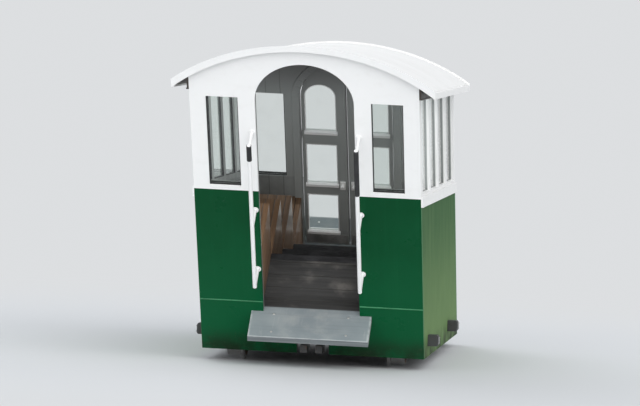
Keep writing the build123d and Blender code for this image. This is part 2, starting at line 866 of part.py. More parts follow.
for name, side in sides.items():
    with BuildPart() as door:
        with BuildSketch(door_face):
            with BuildLine():
                trace_half_arch(side, door_edge_gap, door_half, door_bottom)
            make_face()
            for bottom, top in square_panes:
                with Locations((side * (pane_inner + pane_outer) / 2, (bottom + top) / 2)):
                    Rectangle(pane_outer - pane_inner, top - bottom, mode=Mode.SUBTRACT)
            with BuildLine():
                trace_round_head(side, pane_inner, pane_outer, arched_pane_bottom)
            make_face(mode=Mode.SUBTRACT)
        extrude(amount=door_thickness)
    save(door.part, f"door_{name}")

    with BuildPart() as door_panes:
        with BuildSketch(door_face.offset((door_thickness - glass_thickness) / 2)):
            for bottom, top in square_panes:
                with Locations((side * (pane_inner + pane_outer) / 2, (bottom + top) / 2)):
                    Rectangle(pane_outer - pane_inner - 2 * seat_gap, top - bottom - 2 * seat_gap)
            with BuildLine():
                trace_round_head(
                    side,
                    pane_inner + seat_gap,
                    pane_outer - seat_gap,
                    arched_pane_bottom + seat_gap,
                )
            make_face()
        extrude(amount=glass_thickness)
    save(door_panes.part, f"door_panes_{name}")

    axis_x = side * hinge_axis_x
    strap_outline = [
        (axis_x - side * strap_length, strap_run),
        (side * (half_door - door_edge_gap / 2), strap_run),
        (side * (half_door - door_edge_gap / 2), hinge_run - knuckle_radius),
        (axis_x, hinge_run - knuckle_radius),
        (axis_x, hinge_run),
        (axis_x - side * knuckle_radius * 2, hinge_run),
        (axis_x - side * knuckle_radius * 2, strap_run + strap_thickness),
        (axis_x - side * strap_length, strap_run + strap_thickness),
    ]
    handle_x = side * (door_edge_gap + meeting_stile / 2)
    with BuildPart() as door_fittings:
        for height in hinge_heights:
            knuckle_bottom = height - knuckle_length / 2 - body_run * tan(lean)
            with BuildSketch(tread_plane(0, knuckle_bottom)):
                with BuildLine():
                    Polyline(*strap_outline, close=True)
                make_face()
                with Locations((axis_x, hinge_run)):
                    Circle(knuckle_radius)
                    Circle(hinge_pin_radius + hinge_pin_clearance, mode=Mode.SUBTRACT)
            extrude(amount=knuckle_length)
        with BuildSketch(end_plane(body_length).offset(door_setback)):
            with Locations(
                (handle_x, handle_height - handle_length / 2 + 2 * handle_radius),
                (handle_x, handle_height + handle_length / 2 - 2 * handle_radius),
            ):
                Circle(handle_post_radius)
        extrude(amount=-handle_stand_off)
        handle_bottom = handle_height - handle_length / 2 - body_run * tan(lean)
        with BuildSketch(tread_plane(strap_run + handle_stand_off, handle_bottom)):
            with Locations((handle_x, 0)):
                Circle(handle_radius)
        extrude(amount=handle_length)
    save(door_fittings.part, f"door_fittings_{name}")

with BuildPart() as hinge_pins:
    for side in sides.values():
        axis_x = side * hinge_axis_x
        for height in hinge_heights:
            middle = height - body_run * tan(lean)
            ear_start = knuckle_length / 2 + hinge_ear_gap
            for ear_bottom in (middle + ear_start, middle - ear_start - hinge_ear_length):
                with BuildSketch(tread_plane(0, ear_bottom)):
                    with Locations((axis_x, hinge_run)):
                        Circle(hinge_axis_proud)
                    with Locations((axis_x + side * hinge_ear_reach / 2, hinge_run)):
                        Rectangle(hinge_ear_reach, 2 * hinge_axis_proud)
                extrude(amount=hinge_ear_length)
            with BuildSketch(tread_plane(0, middle - ear_start - hinge_ear_length)):
                with Locations((axis_x, hinge_run)):
                    Circle(hinge_pin_radius)
            extrude(amount=2 * (ear_start + hinge_ear_length))
save(hinge_pins.part, "hinge_pins")
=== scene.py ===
"""Looks for the funicular car: paint, wood, metal and glass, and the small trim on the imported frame."""

import json
from math import cos, pi, radians, sin, tan

import bmesh
import bpy
from mathutils import Matrix, Vector


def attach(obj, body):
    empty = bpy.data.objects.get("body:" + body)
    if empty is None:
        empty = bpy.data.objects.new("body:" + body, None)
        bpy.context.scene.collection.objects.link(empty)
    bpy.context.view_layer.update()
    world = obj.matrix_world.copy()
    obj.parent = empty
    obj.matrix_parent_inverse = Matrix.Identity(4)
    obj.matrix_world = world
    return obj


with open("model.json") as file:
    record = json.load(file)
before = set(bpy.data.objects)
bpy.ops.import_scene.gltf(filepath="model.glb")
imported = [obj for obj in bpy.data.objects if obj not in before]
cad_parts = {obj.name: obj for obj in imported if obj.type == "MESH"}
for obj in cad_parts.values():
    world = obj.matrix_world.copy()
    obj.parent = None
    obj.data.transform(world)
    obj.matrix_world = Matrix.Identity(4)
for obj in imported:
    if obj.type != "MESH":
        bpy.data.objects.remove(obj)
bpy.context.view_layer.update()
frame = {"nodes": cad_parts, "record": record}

# Sizes shared with the solids, in metres
LEAN = radians(39)
SLOPE = tan(LEAN)
LOWER_EDGE_Y, LOWER_EDGE_Z = -1.02, 0.05
BODY_LENGTH = 2.6
BODY_RUN = BODY_LENGTH * cos(LEAN)
BODY_DROP = BODY_LENGTH * sin(LEAN)
HALF_WIDTH = 0.66
INNER_HALF = HALF_WIDTH - 0.035
END_WALL = 0.045
END_WALL_ALONG = END_WALL / cos(LEAN)
WAIST = 1.255
EAVES = 2.1
ROOF_CROWN = 0.222
ROOF_RADIUS = 1.0921
HALF_DOOR = 0.285
SPRINGING = EAVES - 0.16
CASING_THICKNESS, CASING_WIDTH, CASING_HALF = 0.01, 0.045, 0.368
END_WINDOW_MARGIN, END_WINDOW_WIDTH = 0.093, 0.184
END_WINDOW_HEIGHTS = (WAIST + 0.032, EAVES - 0.14)
SIDE_WINDOW_COUNT, SIDE_POST, CORNER_POST = 4, 0.1, 0.08
SIDE_WINDOW_HEIGHTS = (WAIST + 0.04, EAVES - 0.065)
BAND_THICKNESS = 0.01
GLASS_SETBACK, GLASS = 0.02, 0.006
SILL = 0.32
TIER_COUNT = 4
TIER_RUN = BODY_RUN / TIER_COUNT
TIER_DROP = BODY_DROP / TIER_COUNT
FAR_SILL = SILL + TIER_DROP
AISLE_HALF = INNER_HALF - 0.33
STEP_PROJECTION = 0.225
GRAB_BAR_X = HALF_DOOR + 0.023
GRAB_ARM_HEIGHTS = (SILL + 0.332, SILL + 0.792, WAIST + 0.445)
GRAB_BASE_THICKNESS = 0.004
BEAM_BOTTOM = 0.19
CROSSMEMBER_YS = (-1.025, -0.44, 0.0, 0.44, 1.324)
AXLE_BOX_DEPTH = 0.062
WHEEL_RADIUS = 0.15
AXLE_YS = (-0.76, 0.76)

ACROSS = Vector((1, 0, 0))
LEVEL = Vector((0, cos(LEAN), sin(LEAN)))
PLUMB = Vector((0, -sin(LEAN), cos(LEAN)))
LOWER_EDGE = Vector((0, LOWER_EDGE_Y, LOWER_EDGE_Z))


def level_point(x, run, height):
    """A point by its level run and plumb height from the lower edge of the uphill end."""
    return Vector((x, LOWER_EDGE_Y, LOWER_EDGE_Z)) + LEVEL * run + PLUMB * height


def body_point(x, along, height):
    """A point by its station along the track and its plumb height above the body's lower edge."""
    return Vector((x, LOWER_EDGE_Y + along, LOWER_EDGE_Z)) + PLUMB * height


def place(origin, x_axis, y_axis, z_axis):
    """A matrix that takes local x, y and z to a place on the car."""
    made = Matrix((x_axis, y_axis, z_axis)).transposed().to_4x4()
    made.translation = origin
    return made


# An end's place has x across, y plumb and z outwards; a side's has x level, y plumb and z outwards
ENDS = {
    "uphill": {"run": 0.0, "along": 0.0, "out": -1, "sill": SILL, "panel": HALF_DOOR},
    "downhill": {"run": BODY_RUN, "along": BODY_LENGTH, "out": 1, "sill": FAR_SILL, "panel": CASING_HALF},
}
for end in ENDS.values():
    end["place"] = place(body_point(0, end["along"], 0), ACROSS, PLUMB, LEVEL * end["out"])
SIDES = {"left": -1, "right": 1}
SIDE_PLACES = {}
for name, side in SIDES.items():
    SIDE_PLACES[name] = place(level_point(side * HALF_WIDTH, 0, 0), LEVEL, PLUMB, ACROSS * side)

# Colours, as linear red, green and blue
WHITE = (0.90, 0.90, 0.895)
RAIN_GREY = (0.62, 0.62, 0.59)
DIRT_GREY = (0.62, 0.605, 0.56)
BARE_WOOD = (0.42, 0.40, 0.36)
INNER_GREY = (0.355, 0.372, 0.365)
# painted shade for the top of the cabin walls, under the roof
INNER_SHADE = (0.09, 0.085, 0.085)
GREEN = (0.0008, 0.060, 0.019)
PALER_GREEN = (0.003, 0.092, 0.032)
GREEN_STREAK = (0.008, 0.12, 0.045)
# side panels: painted shade at their top, and lower down a paler green that is fading and painted sheen of
# the light on the sides
SHADED_GREEN = (0.030, 0.105, 0.030)
FADED_SHEEN_GREEN = (0.145, 0.245, 0.09)
FADED_STREAK = (0.16, 0.26, 0.11)
FADED_GRAIN = (0.05, 0.12, 0.045)
CORNER_GREEN = (0.075, 0.205, 0.095)
CHIPPED_GREEN = (0.11, 0.21, 0.13)
# painted shade for the foot of the panels, near the ground
FOOT_SHADE = (0.012, 0.020, 0.010)
MUD_SPECK = (0.06, 0.07, 0.04)
CABIN_LIGHT, CABIN_DARK = (0.315, 0.33, 0.325), (0.235, 0.245, 0.24)
CABIN_LINE = (0.10, 0.10, 0.11)
# painted shade, near black, for the cabin walls where they meet the floor
CABIN_FLOOR_SHADE = (0.030, 0.029, 0.027)
CANVAS_LIGHT, CANVAS_DARK = (0.875, 0.875, 0.87), (0.83, 0.83, 0.82)
CANVAS_SEAM = (0.5, 0.5, 0.48)
CANVAS_STAIN = (0.6, 0.59, 0.54)
# the ceiling's brown-grey, darkened partly as painted shade under the roof and its overhang
DARK_CEILING_AND_SHADE, CEILING_LINE = (0.17, 0.16, 0.15), (0.055, 0.05, 0.048)
DECK_DARK, DECK_LIGHT = (0.215, 0.25, 0.265), (0.27, 0.305, 0.315)
DECK_GRAIN = (0.16, 0.18, 0.19)
DECK_WORN = (0.50, 0.53, 0.53)
DECK_TREAD = (0.36, 0.37, 0.36)
DECK_SCRATCH = (0.45, 0.46, 0.45)
# painted highlight for the rounded front edge of the board's top
DECK_EDGE_HIGHLIGHT = (0.52, 0.55, 0.56)
# painted shade: a darker copy of the deck paint for the board's front face
SHADED_FRONT_DARK, SHADED_FRONT_LIGHT = (0.150, 0.168, 0.178), (0.225, 0.245, 0.255)
DECK_SHADE = (0.06, 0.062, 0.065)
WOOD_DUST = (0.3, 0.28, 0.25)
WOOD_GAP = (0.02, 0.017, 0.014)
RUST_DARK, RUST_LIGHT = (0.075, 0.04, 0.026), (0.14, 0.075, 0.045)
RUST_FINE = (0.05, 0.035, 0.03)
GREASE = (0.02, 0.018, 0.016)
ROLLED_STEEL = (0.52, 0.51, 0.50)
RUBBER_DARK, RUBBER_LIGHT = (0.012, 0.012, 0.013), (0.03, 0.03, 0.032)
GLASS_CLEAR, GLASS_DUST = (0.93, 0.95, 0.94), (0.55, 0.56, 0.55)
STUDIO_GREY = (0.72, 0.735, 0.75)
FLOOR_GREY = (0.70, 0.715, 0.73)
SKY = (0.93, 0.96, 1.0)
CABIN_LAMP = (0.97, 0.97, 1.0)

# Boards and canvas, in metres
LINE_WIDTH = 0.004
END_BOARD_PITCH, END_BOARD_FROM_X = 0.09, 0.34
SIDE_BOARD_PITCH, SIDE_BOARD_START = 0.11, 0.02
CEILING_BOARD_PITCH = 0.075
CANVAS_PITCH, CANVAS_LAP = 0.62, 0.006


def scaled(colour, factor):
    """A colour made darker or lighter, and no lighter than white."""
    return tuple(min(c * factor, 1) for c in colour)


class Nodes:
    """An emptied node tree, with short calls to make its nodes and feed them."""

    def __init__(self, owner):
        owner.use_nodes = True
        self.tree = owner.node_tree
        self.tree.nodes.clear()

    def node(self, kind, values=None, **settings):
        """A new node: the values go to its sockets, the settings to its own properties."""
        made = self.tree.nodes.new(kind)
        for key, value in settings.items():
            setattr(made, key, value)
        for key, value in (values or {}).items():
            self.feed(made.inputs[key], value)
        return made

    def feed(self, socket, value):
        if isinstance(value, bpy.types.NodeSocket):
            self.tree.links.new(value, socket)
        elif isinstance(value, tuple) and len(value) == 3 and socket.type == "RGBA":
            socket.default_value = (*value, 1)
        else:
            socket.default_value = value


class Shader(Nodes):
    """One material's tree, with the coordinates and patterns that the finishes share."""

    def __init__(self, name):
        self.material = bpy.data.materials.new(name)
        super().__init__(self.material)
        self.output = self.node("ShaderNodeOutputMaterial")
        self.coords = self.node("ShaderNodeTexCoord").outputs["Object"]
        start = (0, -LOWER_EDGE.dot(LEVEL), -LOWER_EDGE.dot(PLUMB))
        values = {"Vector": self.coords, "Rotation": (-LEAN, 0, 0), "Location": start}
        self.plumb = self.node("ShaderNodeMapping", values).outputs[0]
        self.x, self.run, self.height = self.node("ShaderNodeSeparateXYZ", {"Vector": self.plumb}).outputs
        track = self.node("ShaderNodeSeparateXYZ", {"Vector": self.coords})
        self.track_y, self.track_z = track.outputs[1], track.outputs[2]
        self.abs_x = self.math("ABSOLUTE", self.x)
        self.above_edge = self.total((self.height, 1), (self.run, SLOPE))

    def math(self, operation, a, b=0.0, clamp=False):
        return self.node("ShaderNodeMath", {0: a, 1: b}, operation=operation, use_clamp=clamp).outputs[0]

    def total(self, *terms):
        """The sum of the terms, each a value and its weight."""
        parts = [value if weight == 1 else self.math("MULTIPLY", value, weight) for value, weight in terms]
        added = parts[0]
        for part in parts[1:]:
            added = self.math("ADD", added, part)
        return added

    def distance(self, a, b):
        return self.math("SQRT", self.math("ADD", self.math("POWER", a, 2.0), self.math("POWER", b, 2.0)))

    def span(self, value, low, high, to_low=0.0, to_high=1.0):
        """A value's way from low to high, eased and stretched between two results."""
        values = {"Value": value, "From Min": low, "From Max": high, "To Min": to_low, "To Max": to_high}
        return self.node("ShaderNodeMapRange", values, interpolation_type="SMOOTHSTEP").outputs[0]

    def past_ends(self, low, high):
        """0 up to low beyond the body's ends, 1 from high; a negative distance lies inside them."""
        far_end = self.span(self.run, BODY_RUN + low, BODY_RUN + high)
        return self.either(self.span(self.run, -low, -high), far_end)

    def between_ends(self, low, high):
        """0 up to low inside the body's ends, 1 from high."""
        far_end = self.span(self.run, BODY_RUN - low, BODY_RUN - high)
        return self.both(self.span(self.run, low, high), far_end)

    def noise(self, scale, detail, stretch=(1, 1, 1), coords=None, rough=0.55):
        moved = self.node("ShaderNodeMapping", {"Vector": coords or self.plumb, "Scale": stretch})
        values = {"Vector": moved.outputs[0], "Scale": scale, "Detail": detail, "Roughness": rough}
        return self.node("ShaderNodeTexNoise", values).outputs[0]

    def spots(self, scale, low, high):
        """1 within low of scattered points, 0 from high."""
        made = self.node("ShaderNodeTexVoronoi", {"Vector": self.plumb, "Scale": scale})
        return self.span(made.outputs["Distance"], high, low)

    def mix(self, share, a, b):
        made = self.node("ShaderNodeMix", data_type="RGBA", blend_type="MIX")
        self.feed(made.inputs[0], share)
        self.feed(made.inputs[6], a)
        self.feed(made.inputs[7], b)
        return made.outputs[2]

    def lay(self, colour, over, share, strength):
        """A colour with another laid over it by a share times a strength."""
        return self.mix(self.math("MULTIPLY", share, strength), colour, over)

    def groove(self, value, pitch, width, start=0.0):
        """1 on the lines between boards of one pitch, 0 on the boards."""
        along = self.math("DIVIDE", self.math("SUBTRACT", value, start), pitch)
        off = self.math("ABSOLUTE", self.math("SUBTRACT", self.math("FRACT", along), 0.5))
        return self.span(off, 0.5 - width / pitch, 0.5)

    def board_tone(self, value, pitch, start):
        """A tone from 0 to 1 that changes from one board to the next."""
        along = self.math("FLOOR", self.math("DIVIDE", self.math("SUBTRACT", value, start), pitch))
        return self.node("ShaderNodeTexWhiteNoise", {"W": along}, noise_dimensions="1D").outputs["Value"]

    def both(self, a, b):
        return self.math("MULTIPLY", a, b, clamp=True)

    def either(self, a, b):
        return self.math("MAXIMUM", a, b)

    def less(self, a):
        return self.math("SUBTRACT", 1.0, a, clamp=True)

    def bump(self, height, depth):
        return self.node("ShaderNodeBump", {"Height": height, "Distance": depth, "Strength": 1.0}).outputs[0]

    def finish(self, colour, rough, normal, metal=0.0, coat=0.0, level=0.5):
        values = {"Base Color": colour, "Roughness": rough, "Metallic": metal, "Specular IOR Level": level}
        values["Normal"] = normal
        if coat:
            values["Coat Weight"] = coat
            values["Coat Roughness"] = 0.12
        return self.close(self.node("ShaderNodeBsdfPrincipled", values))

    def close(self, surface):
        self.tree.links.new(surface.outputs[0], self.output.inputs[0])
        return self.material


def inside_share(sh):
    """1 on what faces the cabin, 0 on the outer faces of the ends and the sides."""
    from_side = sh.span(sh.abs_x, HALF_WIDTH - 0.012, HALF_WIDTH - 0.014)
    return sh.both(sh.between_ends(0.022, 0.024), from_side)


def end_boards(sh):
    """1 on the lines between the upright boards that line the ends beside the doorway."""
    lines = sh.groove(sh.x, END_BOARD_PITCH, LINE_WIDTH, END_BOARD_PITCH / 2)
    return sh.both(lines, sh.span(sh.abs_x, END_BOARD_FROM_X, END_BOARD_FROM_X + 0.002))


def white_paint(name="white_gloss_paint", base=WHITE, cabin=True, green_foot=False, depth=0.00022):
    """Brushed gloss paint on boards, dulled and dusty in the cabin with painted shade near its top under the
    roof, green below the waist if asked.
    """
    sh = Shader(name)
    cloud = sh.noise(2.3, 5, rough=0.6)
    streak = sh.noise(9.0, 4, stretch=(1, 1, 0.06))
    brush = sh.noise(70.0, 3, stretch=(1, 1, 0.05))
    colour = sh.mix(sh.span(cloud, 0.35, 0.75), base, scaled(base, 0.985))
    rain = sh.both(sh.span(streak, 0.55, 0.8), sh.span(sh.height, 2.1, 0.9))
    colour = sh.lay(colour, RAIN_GREY, rain, 0.14)
    dirt = sh.both(sh.span(sh.noise(14.0, 6), 0.5, 0.72), 0.08)
    colour = sh.mix(dirt, colour, DIRT_GREY)
    chip = sh.both(sh.spots(37.0, 0.02, 0.05), sh.span(cloud, 0.5, 0.6))
    colour = sh.mix(chip, colour, BARE_WOOD)
    height = sh.total((brush, 0.6), (sh.noise(210.0, 2), 0.25))
    if cabin:
        within = inside_share(sh)
        boards = end_boards(sh)
        low = sh.span(sh.above_edge, 1.9, 0.3)
        worn = sh.mix(sh.both(sh.span(cloud, 0.4, 0.7), low), INNER_GREY, scaled(INNER_GREY, 0.72))
        worn = sh.mix(sh.both(boards, 0.5), worn, scaled(INNER_GREY, 0.3))
        # painted shade on the cabin walls near the top, under the roof
        worn = sh.lay(worn, INNER_SHADE, sh.span(sh.above_edge, 1.85, 2.2), 0.75)
        colour = sh.mix(within, colour, worn)
        height = sh.total((height, 1), (sh.both(boards, within), -6.0))
    rough = sh.span(sh.noise(6.0, 4), 0.3, 0.7, 0.32, 0.5)
    if green_foot:
        foot = sh.span(sh.above_edge, WAIST + 0.0005, WAIST - 0.0005)
        colour = sh.mix(foot, colour, sh.mix(sh.span(sh.above_edge, 1.3, 0.2), GREEN, PALER_GREEN))
    return sh.finish(colour, rough, sh.bump(height, depth), level=0.35)


def green_paint():
    """Deep green gloss on the ends; on the sides paler and streaked, fading and painted sheen, with painted
    shade at their top; grey-green inside the cabin. Painted shade darkens the foot near the ground and the
    cabin walls near the floor.
    """
    sh = Shader("green_gloss_paint")
    cloud = sh.noise(3.1, 5, rough=0.6)
    streak = sh.noise(26.0, 5, stretch=(1, 1, 0.035))
    fine = sh.noise(90.0, 3, stretch=(1, 1, 0.04))
    lower = sh.span(sh.total((sh.above_edge, 1), (cloud, 0.8)), 1.7, 0.6)
    colour = sh.mix(lower, GREEN, PALER_GREEN)
    colour = sh.lay(colour, GREEN_STREAK, sh.span(streak, 0.5, 0.85), 0.3)

    # the sides go from painted shade at the top to fading and painted sheen lower down
    sheen_below_shade = sh.span(sh.total((sh.above_edge, 1), (cloud, 0.4)), 1.4, 0.25)
    faded_sheen_side = sh.mix(sheen_below_shade, SHADED_GREEN, FADED_SHEEN_GREEN)
    faded_sheen_side = sh.lay(faded_sheen_side, FADED_STREAK, sh.span(streak, 0.35, 0.75), 0.25)
    faded_sheen_side = sh.lay(faded_sheen_side, FADED_GRAIN, sh.span(fine, 0.5, 0.9), 0.3)
    faded_sheen_side = sh.lay(faded_sheen_side, CORNER_GREEN, sh.past_ends(-END_WALL - 0.0005, -END_WALL + 0.0005), 0.8)
    outer_face = sh.span(sh.abs_x, HALF_WIDTH - 0.0012, HALF_WIDTH - 0.0006)
    # the side faces take the paler green: fading and painted sheen of the light falling on the sides
    colour = sh.mix(outer_face, colour, faded_sheen_side)

    # painted shade at the foot near the ground, mottled by noise
    foot_shade = sh.both(sh.span(sh.above_edge, 0.20, 0.0), sh.span(sh.noise(5.0, 5), 0.30, 0.62))
    colour = sh.lay(colour, FOOT_SHADE, foot_shade, 0.85)
    specks = sh.both(sh.span(sh.above_edge, 0.24, 0.03), sh.span(sh.noise(60.0, 6), 0.56, 0.72))
    colour = sh.lay(colour, MUD_SPECK, specks, 0.45)
    chip = sh.both(sh.spots(31.0, 0.025, 0.06), sh.span(cloud, 0.45, 0.6))
    colour = sh.lay(colour, CHIPPED_GREEN, chip, 0.7)

    within = inside_share(sh)
    long_boards = sh.groove(sh.above_edge, SIDE_BOARD_PITCH, LINE_WIDTH, SIDE_BOARD_START)
    inner_face = sh.span(sh.abs_x, INNER_HALF - 0.002, INNER_HALF - 0.001)
    lines = sh.mix(inner_face, end_boards(sh), long_boards)
    cabin = sh.mix(sh.span(cloud, 0.4, 0.7), CABIN_LIGHT, CABIN_DARK)
    cabin = sh.lay(cabin, CABIN_LINE, lines, 0.6)
    # painted shade on the cabin walls low down, where they meet the floor
    cabin = sh.mix(sh.span(sh.track_z, 0.27, 0.24), cabin, CABIN_FLOOR_SHADE)
    colour = sh.mix(within, colour, cabin)

    height = sh.total((fine, 0.8), (sh.noise(190.0, 2), 0.25), (sh.both(lines, within), -5.0))
    shine = sh.span(sh.noise(5.0, 4), 0.3, 0.7, 0.26, 0.42)
    rough = sh.mix(outer_face, shine, (0.7, 0.7, 0.7))
    return sh.finish(colour, rough, sh.bump(height, 0.0004), level=0.1)


def roof_paint():
    """Painted canvas over boards: lap seams across it, dust, and a boarded ceiling underneath, whose dark
    brown-grey is partly painted shade under the roof.
    """
    sh = Shader("roof_canvas_paint")
    weave = sh.noise(320.0, 2)
    cloud = sh.noise(1.9, 6, rough=0.65)
    along = sh.total((sh.track_y, 1), (sh.track_z, SLOPE))
    seam = sh.groove(along, CANVAS_PITCH, CANVAS_LAP, CANVAS_PITCH / 2)
    boards = sh.groove(sh.x, CEILING_BOARD_PITCH, LINE_WIDTH, CEILING_BOARD_PITCH / 2)
    colour = sh.mix(sh.span(cloud, 0.35, 0.8), CANVAS_LIGHT, CANVAS_DARK)
    colour = sh.lay(colour, CANVAS_SEAM, seam, 0.35)
    stain = sh.both(sh.span(sh.noise(6.0, 6), 0.55, 0.75), sh.span(sh.abs_x, 0.3, 0.75))
    colour = sh.lay(colour, CANVAS_STAIN, stain, 0.2)
    above_centre = sh.math("SUBTRACT", sh.above_edge, EAVES + ROOF_CROWN - ROOF_RADIUS)
    under = sh.span(sh.distance(sh.x, above_centre), ROOF_RADIUS + 0.0074, ROOF_RADIUS + 0.0034)
    # the underside takes the dark ceiling colour, partly painted shade under the roof
    colour = sh.mix(under, colour, sh.lay(DARK_CEILING_AND_SHADE, CEILING_LINE, boards, 0.6))
    ridge = sh.total((weave, 0.4), (cloud, 2.5), (seam, 3.0), (sh.both(boards, under), -8.0))
    return sh.finish(colour, sh.span(cloud, 0.3, 0.7, 0.66, 0.82), sh.bump(ridge, 0.0004), level=0.12)


def board_paint():
    """Grey deck paint worn through along its edges and where feet land, with a painted highlight along its
    front lip, painted shade on its front face, and dark painted shade on the part indoors.
    """
    sh = Shader("worn_deck_paint")
    grain = sh.noise(60.0, 5, stretch=(0.05, 1, 1))
    cloud = sh.noise(4.5, 6)
    scratch = sh.noise(45.0, 4, stretch=(1, 0.08, 1))
    colour = sh.mix(sh.span(cloud, 0.3, 0.7), DECK_DARK, DECK_LIGHT)
    colour = sh.lay(colour, DECK_GRAIN, sh.span(grain, 0.5, 0.75), 0.35)
    edge = sh.past_ends(STEP_PROJECTION - 0.014, STEP_PROJECTION - 0.001)
    edge = sh.either(edge, sh.span(sh.abs_x, 0.340, 0.354))
    worn = sh.both(edge, sh.span(sh.noise(22.0, 5), 0.3, 0.6))
    colour = sh.lay(colour, DECK_WORN, worn, 0.75)
    tread = sh.both(sh.span(sh.abs_x, 0.26, 0.05), sh.span(sh.noise(9.0, 6), 0.42, 0.68))
    colour = sh.lay(colour, DECK_TREAD, tread, 0.5)
    colour = sh.lay(colour, DECK_SCRATCH, sh.span(scratch, 0.62, 0.75), 0.3)
    # painted highlight along the rounded front edge of the top
    colour = sh.lay(colour, DECK_EDGE_HIGHLIGHT, sh.past_ends(STEP_PROJECTION - 0.0065, STEP_PROJECTION - 0.0035), 0.7)
    # the front face takes the darker colours, painted shade where it faces away from the sky
    front = sh.past_ends(STEP_PROJECTION - 0.0015, STEP_PROJECTION - 0.0005)
    colour = sh.mix(front, colour, sh.mix(sh.span(grain, 0.3, 0.7), SHADED_FRONT_DARK, SHADED_FRONT_LIGHT))
    colour = sh.mix(sh.between_ends(0.036, 0.044), colour, DECK_SHADE)
    height = sh.total((grain, 1), (worn, -0.8))
    return sh.finish(colour, sh.span(cloud, 0.3, 0.7, 0.5, 0.7), sh.bump(height, 0.0006))


def wood(name, dark, light, pitch, across, gloss, axis="run"):
    """Sawn boards: across names the coordinate that counts them, axis the one that the grain follows."""
    sh = Shader(name)
    value = {"x": sh.x, "run": sh.run}[across]
    stretch = {"x": (1, 0.05, 1), "run": (0.05, 1, 1)}[axis]
    grain = sh.noise(55.0, 6, stretch=stretch, rough=0.65)
    figure = sh.noise(9.0, 4, stretch=stretch)
    line = sh.groove(value, pitch, LINE_WIDTH)
    tone = sh.board_tone(value, pitch, -pitch / 2)
    colour = sh.mix(sh.span(grain, 0.3, 0.7), dark, light)
    colour = sh.lay(colour, scaled(dark, 0.6), sh.span(figure, 0.45, 0.7), 0.4)
    colour = sh.lay(colour, scaled(light, 1.3), tone, 0.3)
    colour = sh.lay(colour, WOOD_DUST, sh.span(sh.noise(5.0, 6), 0.5, 0.75), 0.3 * (1 - gloss))
    colour = sh.mix(line, colour, WOOD_GAP)
    height = sh.total((grain, 0.8), (line, -6.0))
    rough = sh.span(figure, 0.3, 0.7, 0.62 - 0.35 * gloss, 0.78 - 0.4 * gloss)
    return sh.finish(colour, rough, sh.bump(height, 0.0005), coat=0.35 * gloss)


def dark_steel(name, base, rust, share, rough=0.42, grain=160.0, depth=0.00015, metal=0.0):
    """Painted or bare metal, or rubber, with rust or dust over a share of it and duller there."""
    sh = Shader(name)
    cloud = sh.noise(7.0, 6)
    fine = sh.noise(grain, 4, coords=sh.coords)
    colour = sh.mix(sh.span(cloud, 0.35, 0.7), base, scaled(base, 1.7))
    blotch = sh.span(sh.noise(17.0, 7, rough=0.7), 0.66 - share * 0.4, 0.86 - share * 0.4)
    patches = sh.both(blotch, sh.span(fine, 0.3, 0.6))
    colour = sh.mix(patches, colour, rust)
    spread = sh.span(cloud, 0.3, 0.7, rough - 0.08, rough + 0.12)
    dull = sh.math("ADD", spread, sh.math("MULTIPLY", patches, 0.3), clamp=True)
    height = sh.total((fine, 1), (patches, 1.5))
    return sh.finish(colour, dull, sh.bump(height, depth), metal=metal)


def wheel_steel():
    """Rolled steel: a bright running band on tread and flange, rust and grease on web and hub."""
    sh = Shader("wheel_steel")
    uphill = sh.math("LESS_THAN", sh.track_y, 0.0)
    centre = sh.math("ADD", sh.math("MULTIPLY", uphill, AXLE_YS[0] - AXLE_YS[1]), AXLE_YS[1])
    off_y = sh.math("SUBTRACT", sh.track_y, centre)
    off_z = sh.math("SUBTRACT", sh.track_z, WHEEL_RADIUS)
    radius = sh.distance(off_y, off_z)
    band = sh.span(radius, WHEEL_RADIUS - 0.004, WHEEL_RADIUS - 0.001)
    hub = sh.span(radius, 0.060, 0.050)
    cloud = sh.noise(12.0, 6, coords=sh.coords)
    fine = sh.noise(140.0, 4, coords=sh.coords)
    web = sh.mix(sh.span(cloud, 0.35, 0.7), RUST_DARK, RUST_LIGHT)
    web = sh.lay(web, RUST_FINE, sh.span(fine, 0.45, 0.7), 0.5)
    web = sh.lay(web, GREASE, hub, sh.span(cloud, 0.3, 0.6))
    colour = sh.mix(band, web, ROLLED_STEEL)
    rough = sh.span(sh.total((band, -1.0), (fine, 0.25)), -1.0, 0.25, 0.24, 0.8)
    lathe_marks = sh.math("SINE", sh.math("MULTIPLY", radius, 3000.0))
    height = sh.total((sh.math("MULTIPLY", fine, sh.less(band)), 1), (lathe_marks, 0.05))
    return sh.finish(colour, rough, sh.bump(height, 0.0003), metal=sh.span(band, 0.0, 1.0, 0.15, 1.0))


def rubber():
    """Black grip sleeve with fine ribs round it and handled, shinier patches."""
    sh = Shader("black_grip_rubber")
    ribs = sh.math("SINE", sh.math("MULTIPLY", sh.height, 900.0))
    patch = sh.noise(20.0, 4)
    colour = sh.mix(sh.span(patch, 0.4, 0.7), RUBBER_DARK, RUBBER_LIGHT)
    height = sh.math("ADD", ribs, sh.noise(300.0, 3))
    return sh.finish(colour, sh.span(patch, 0.3, 0.7, 0.5, 0.75), sh.bump(height, 0.0002))


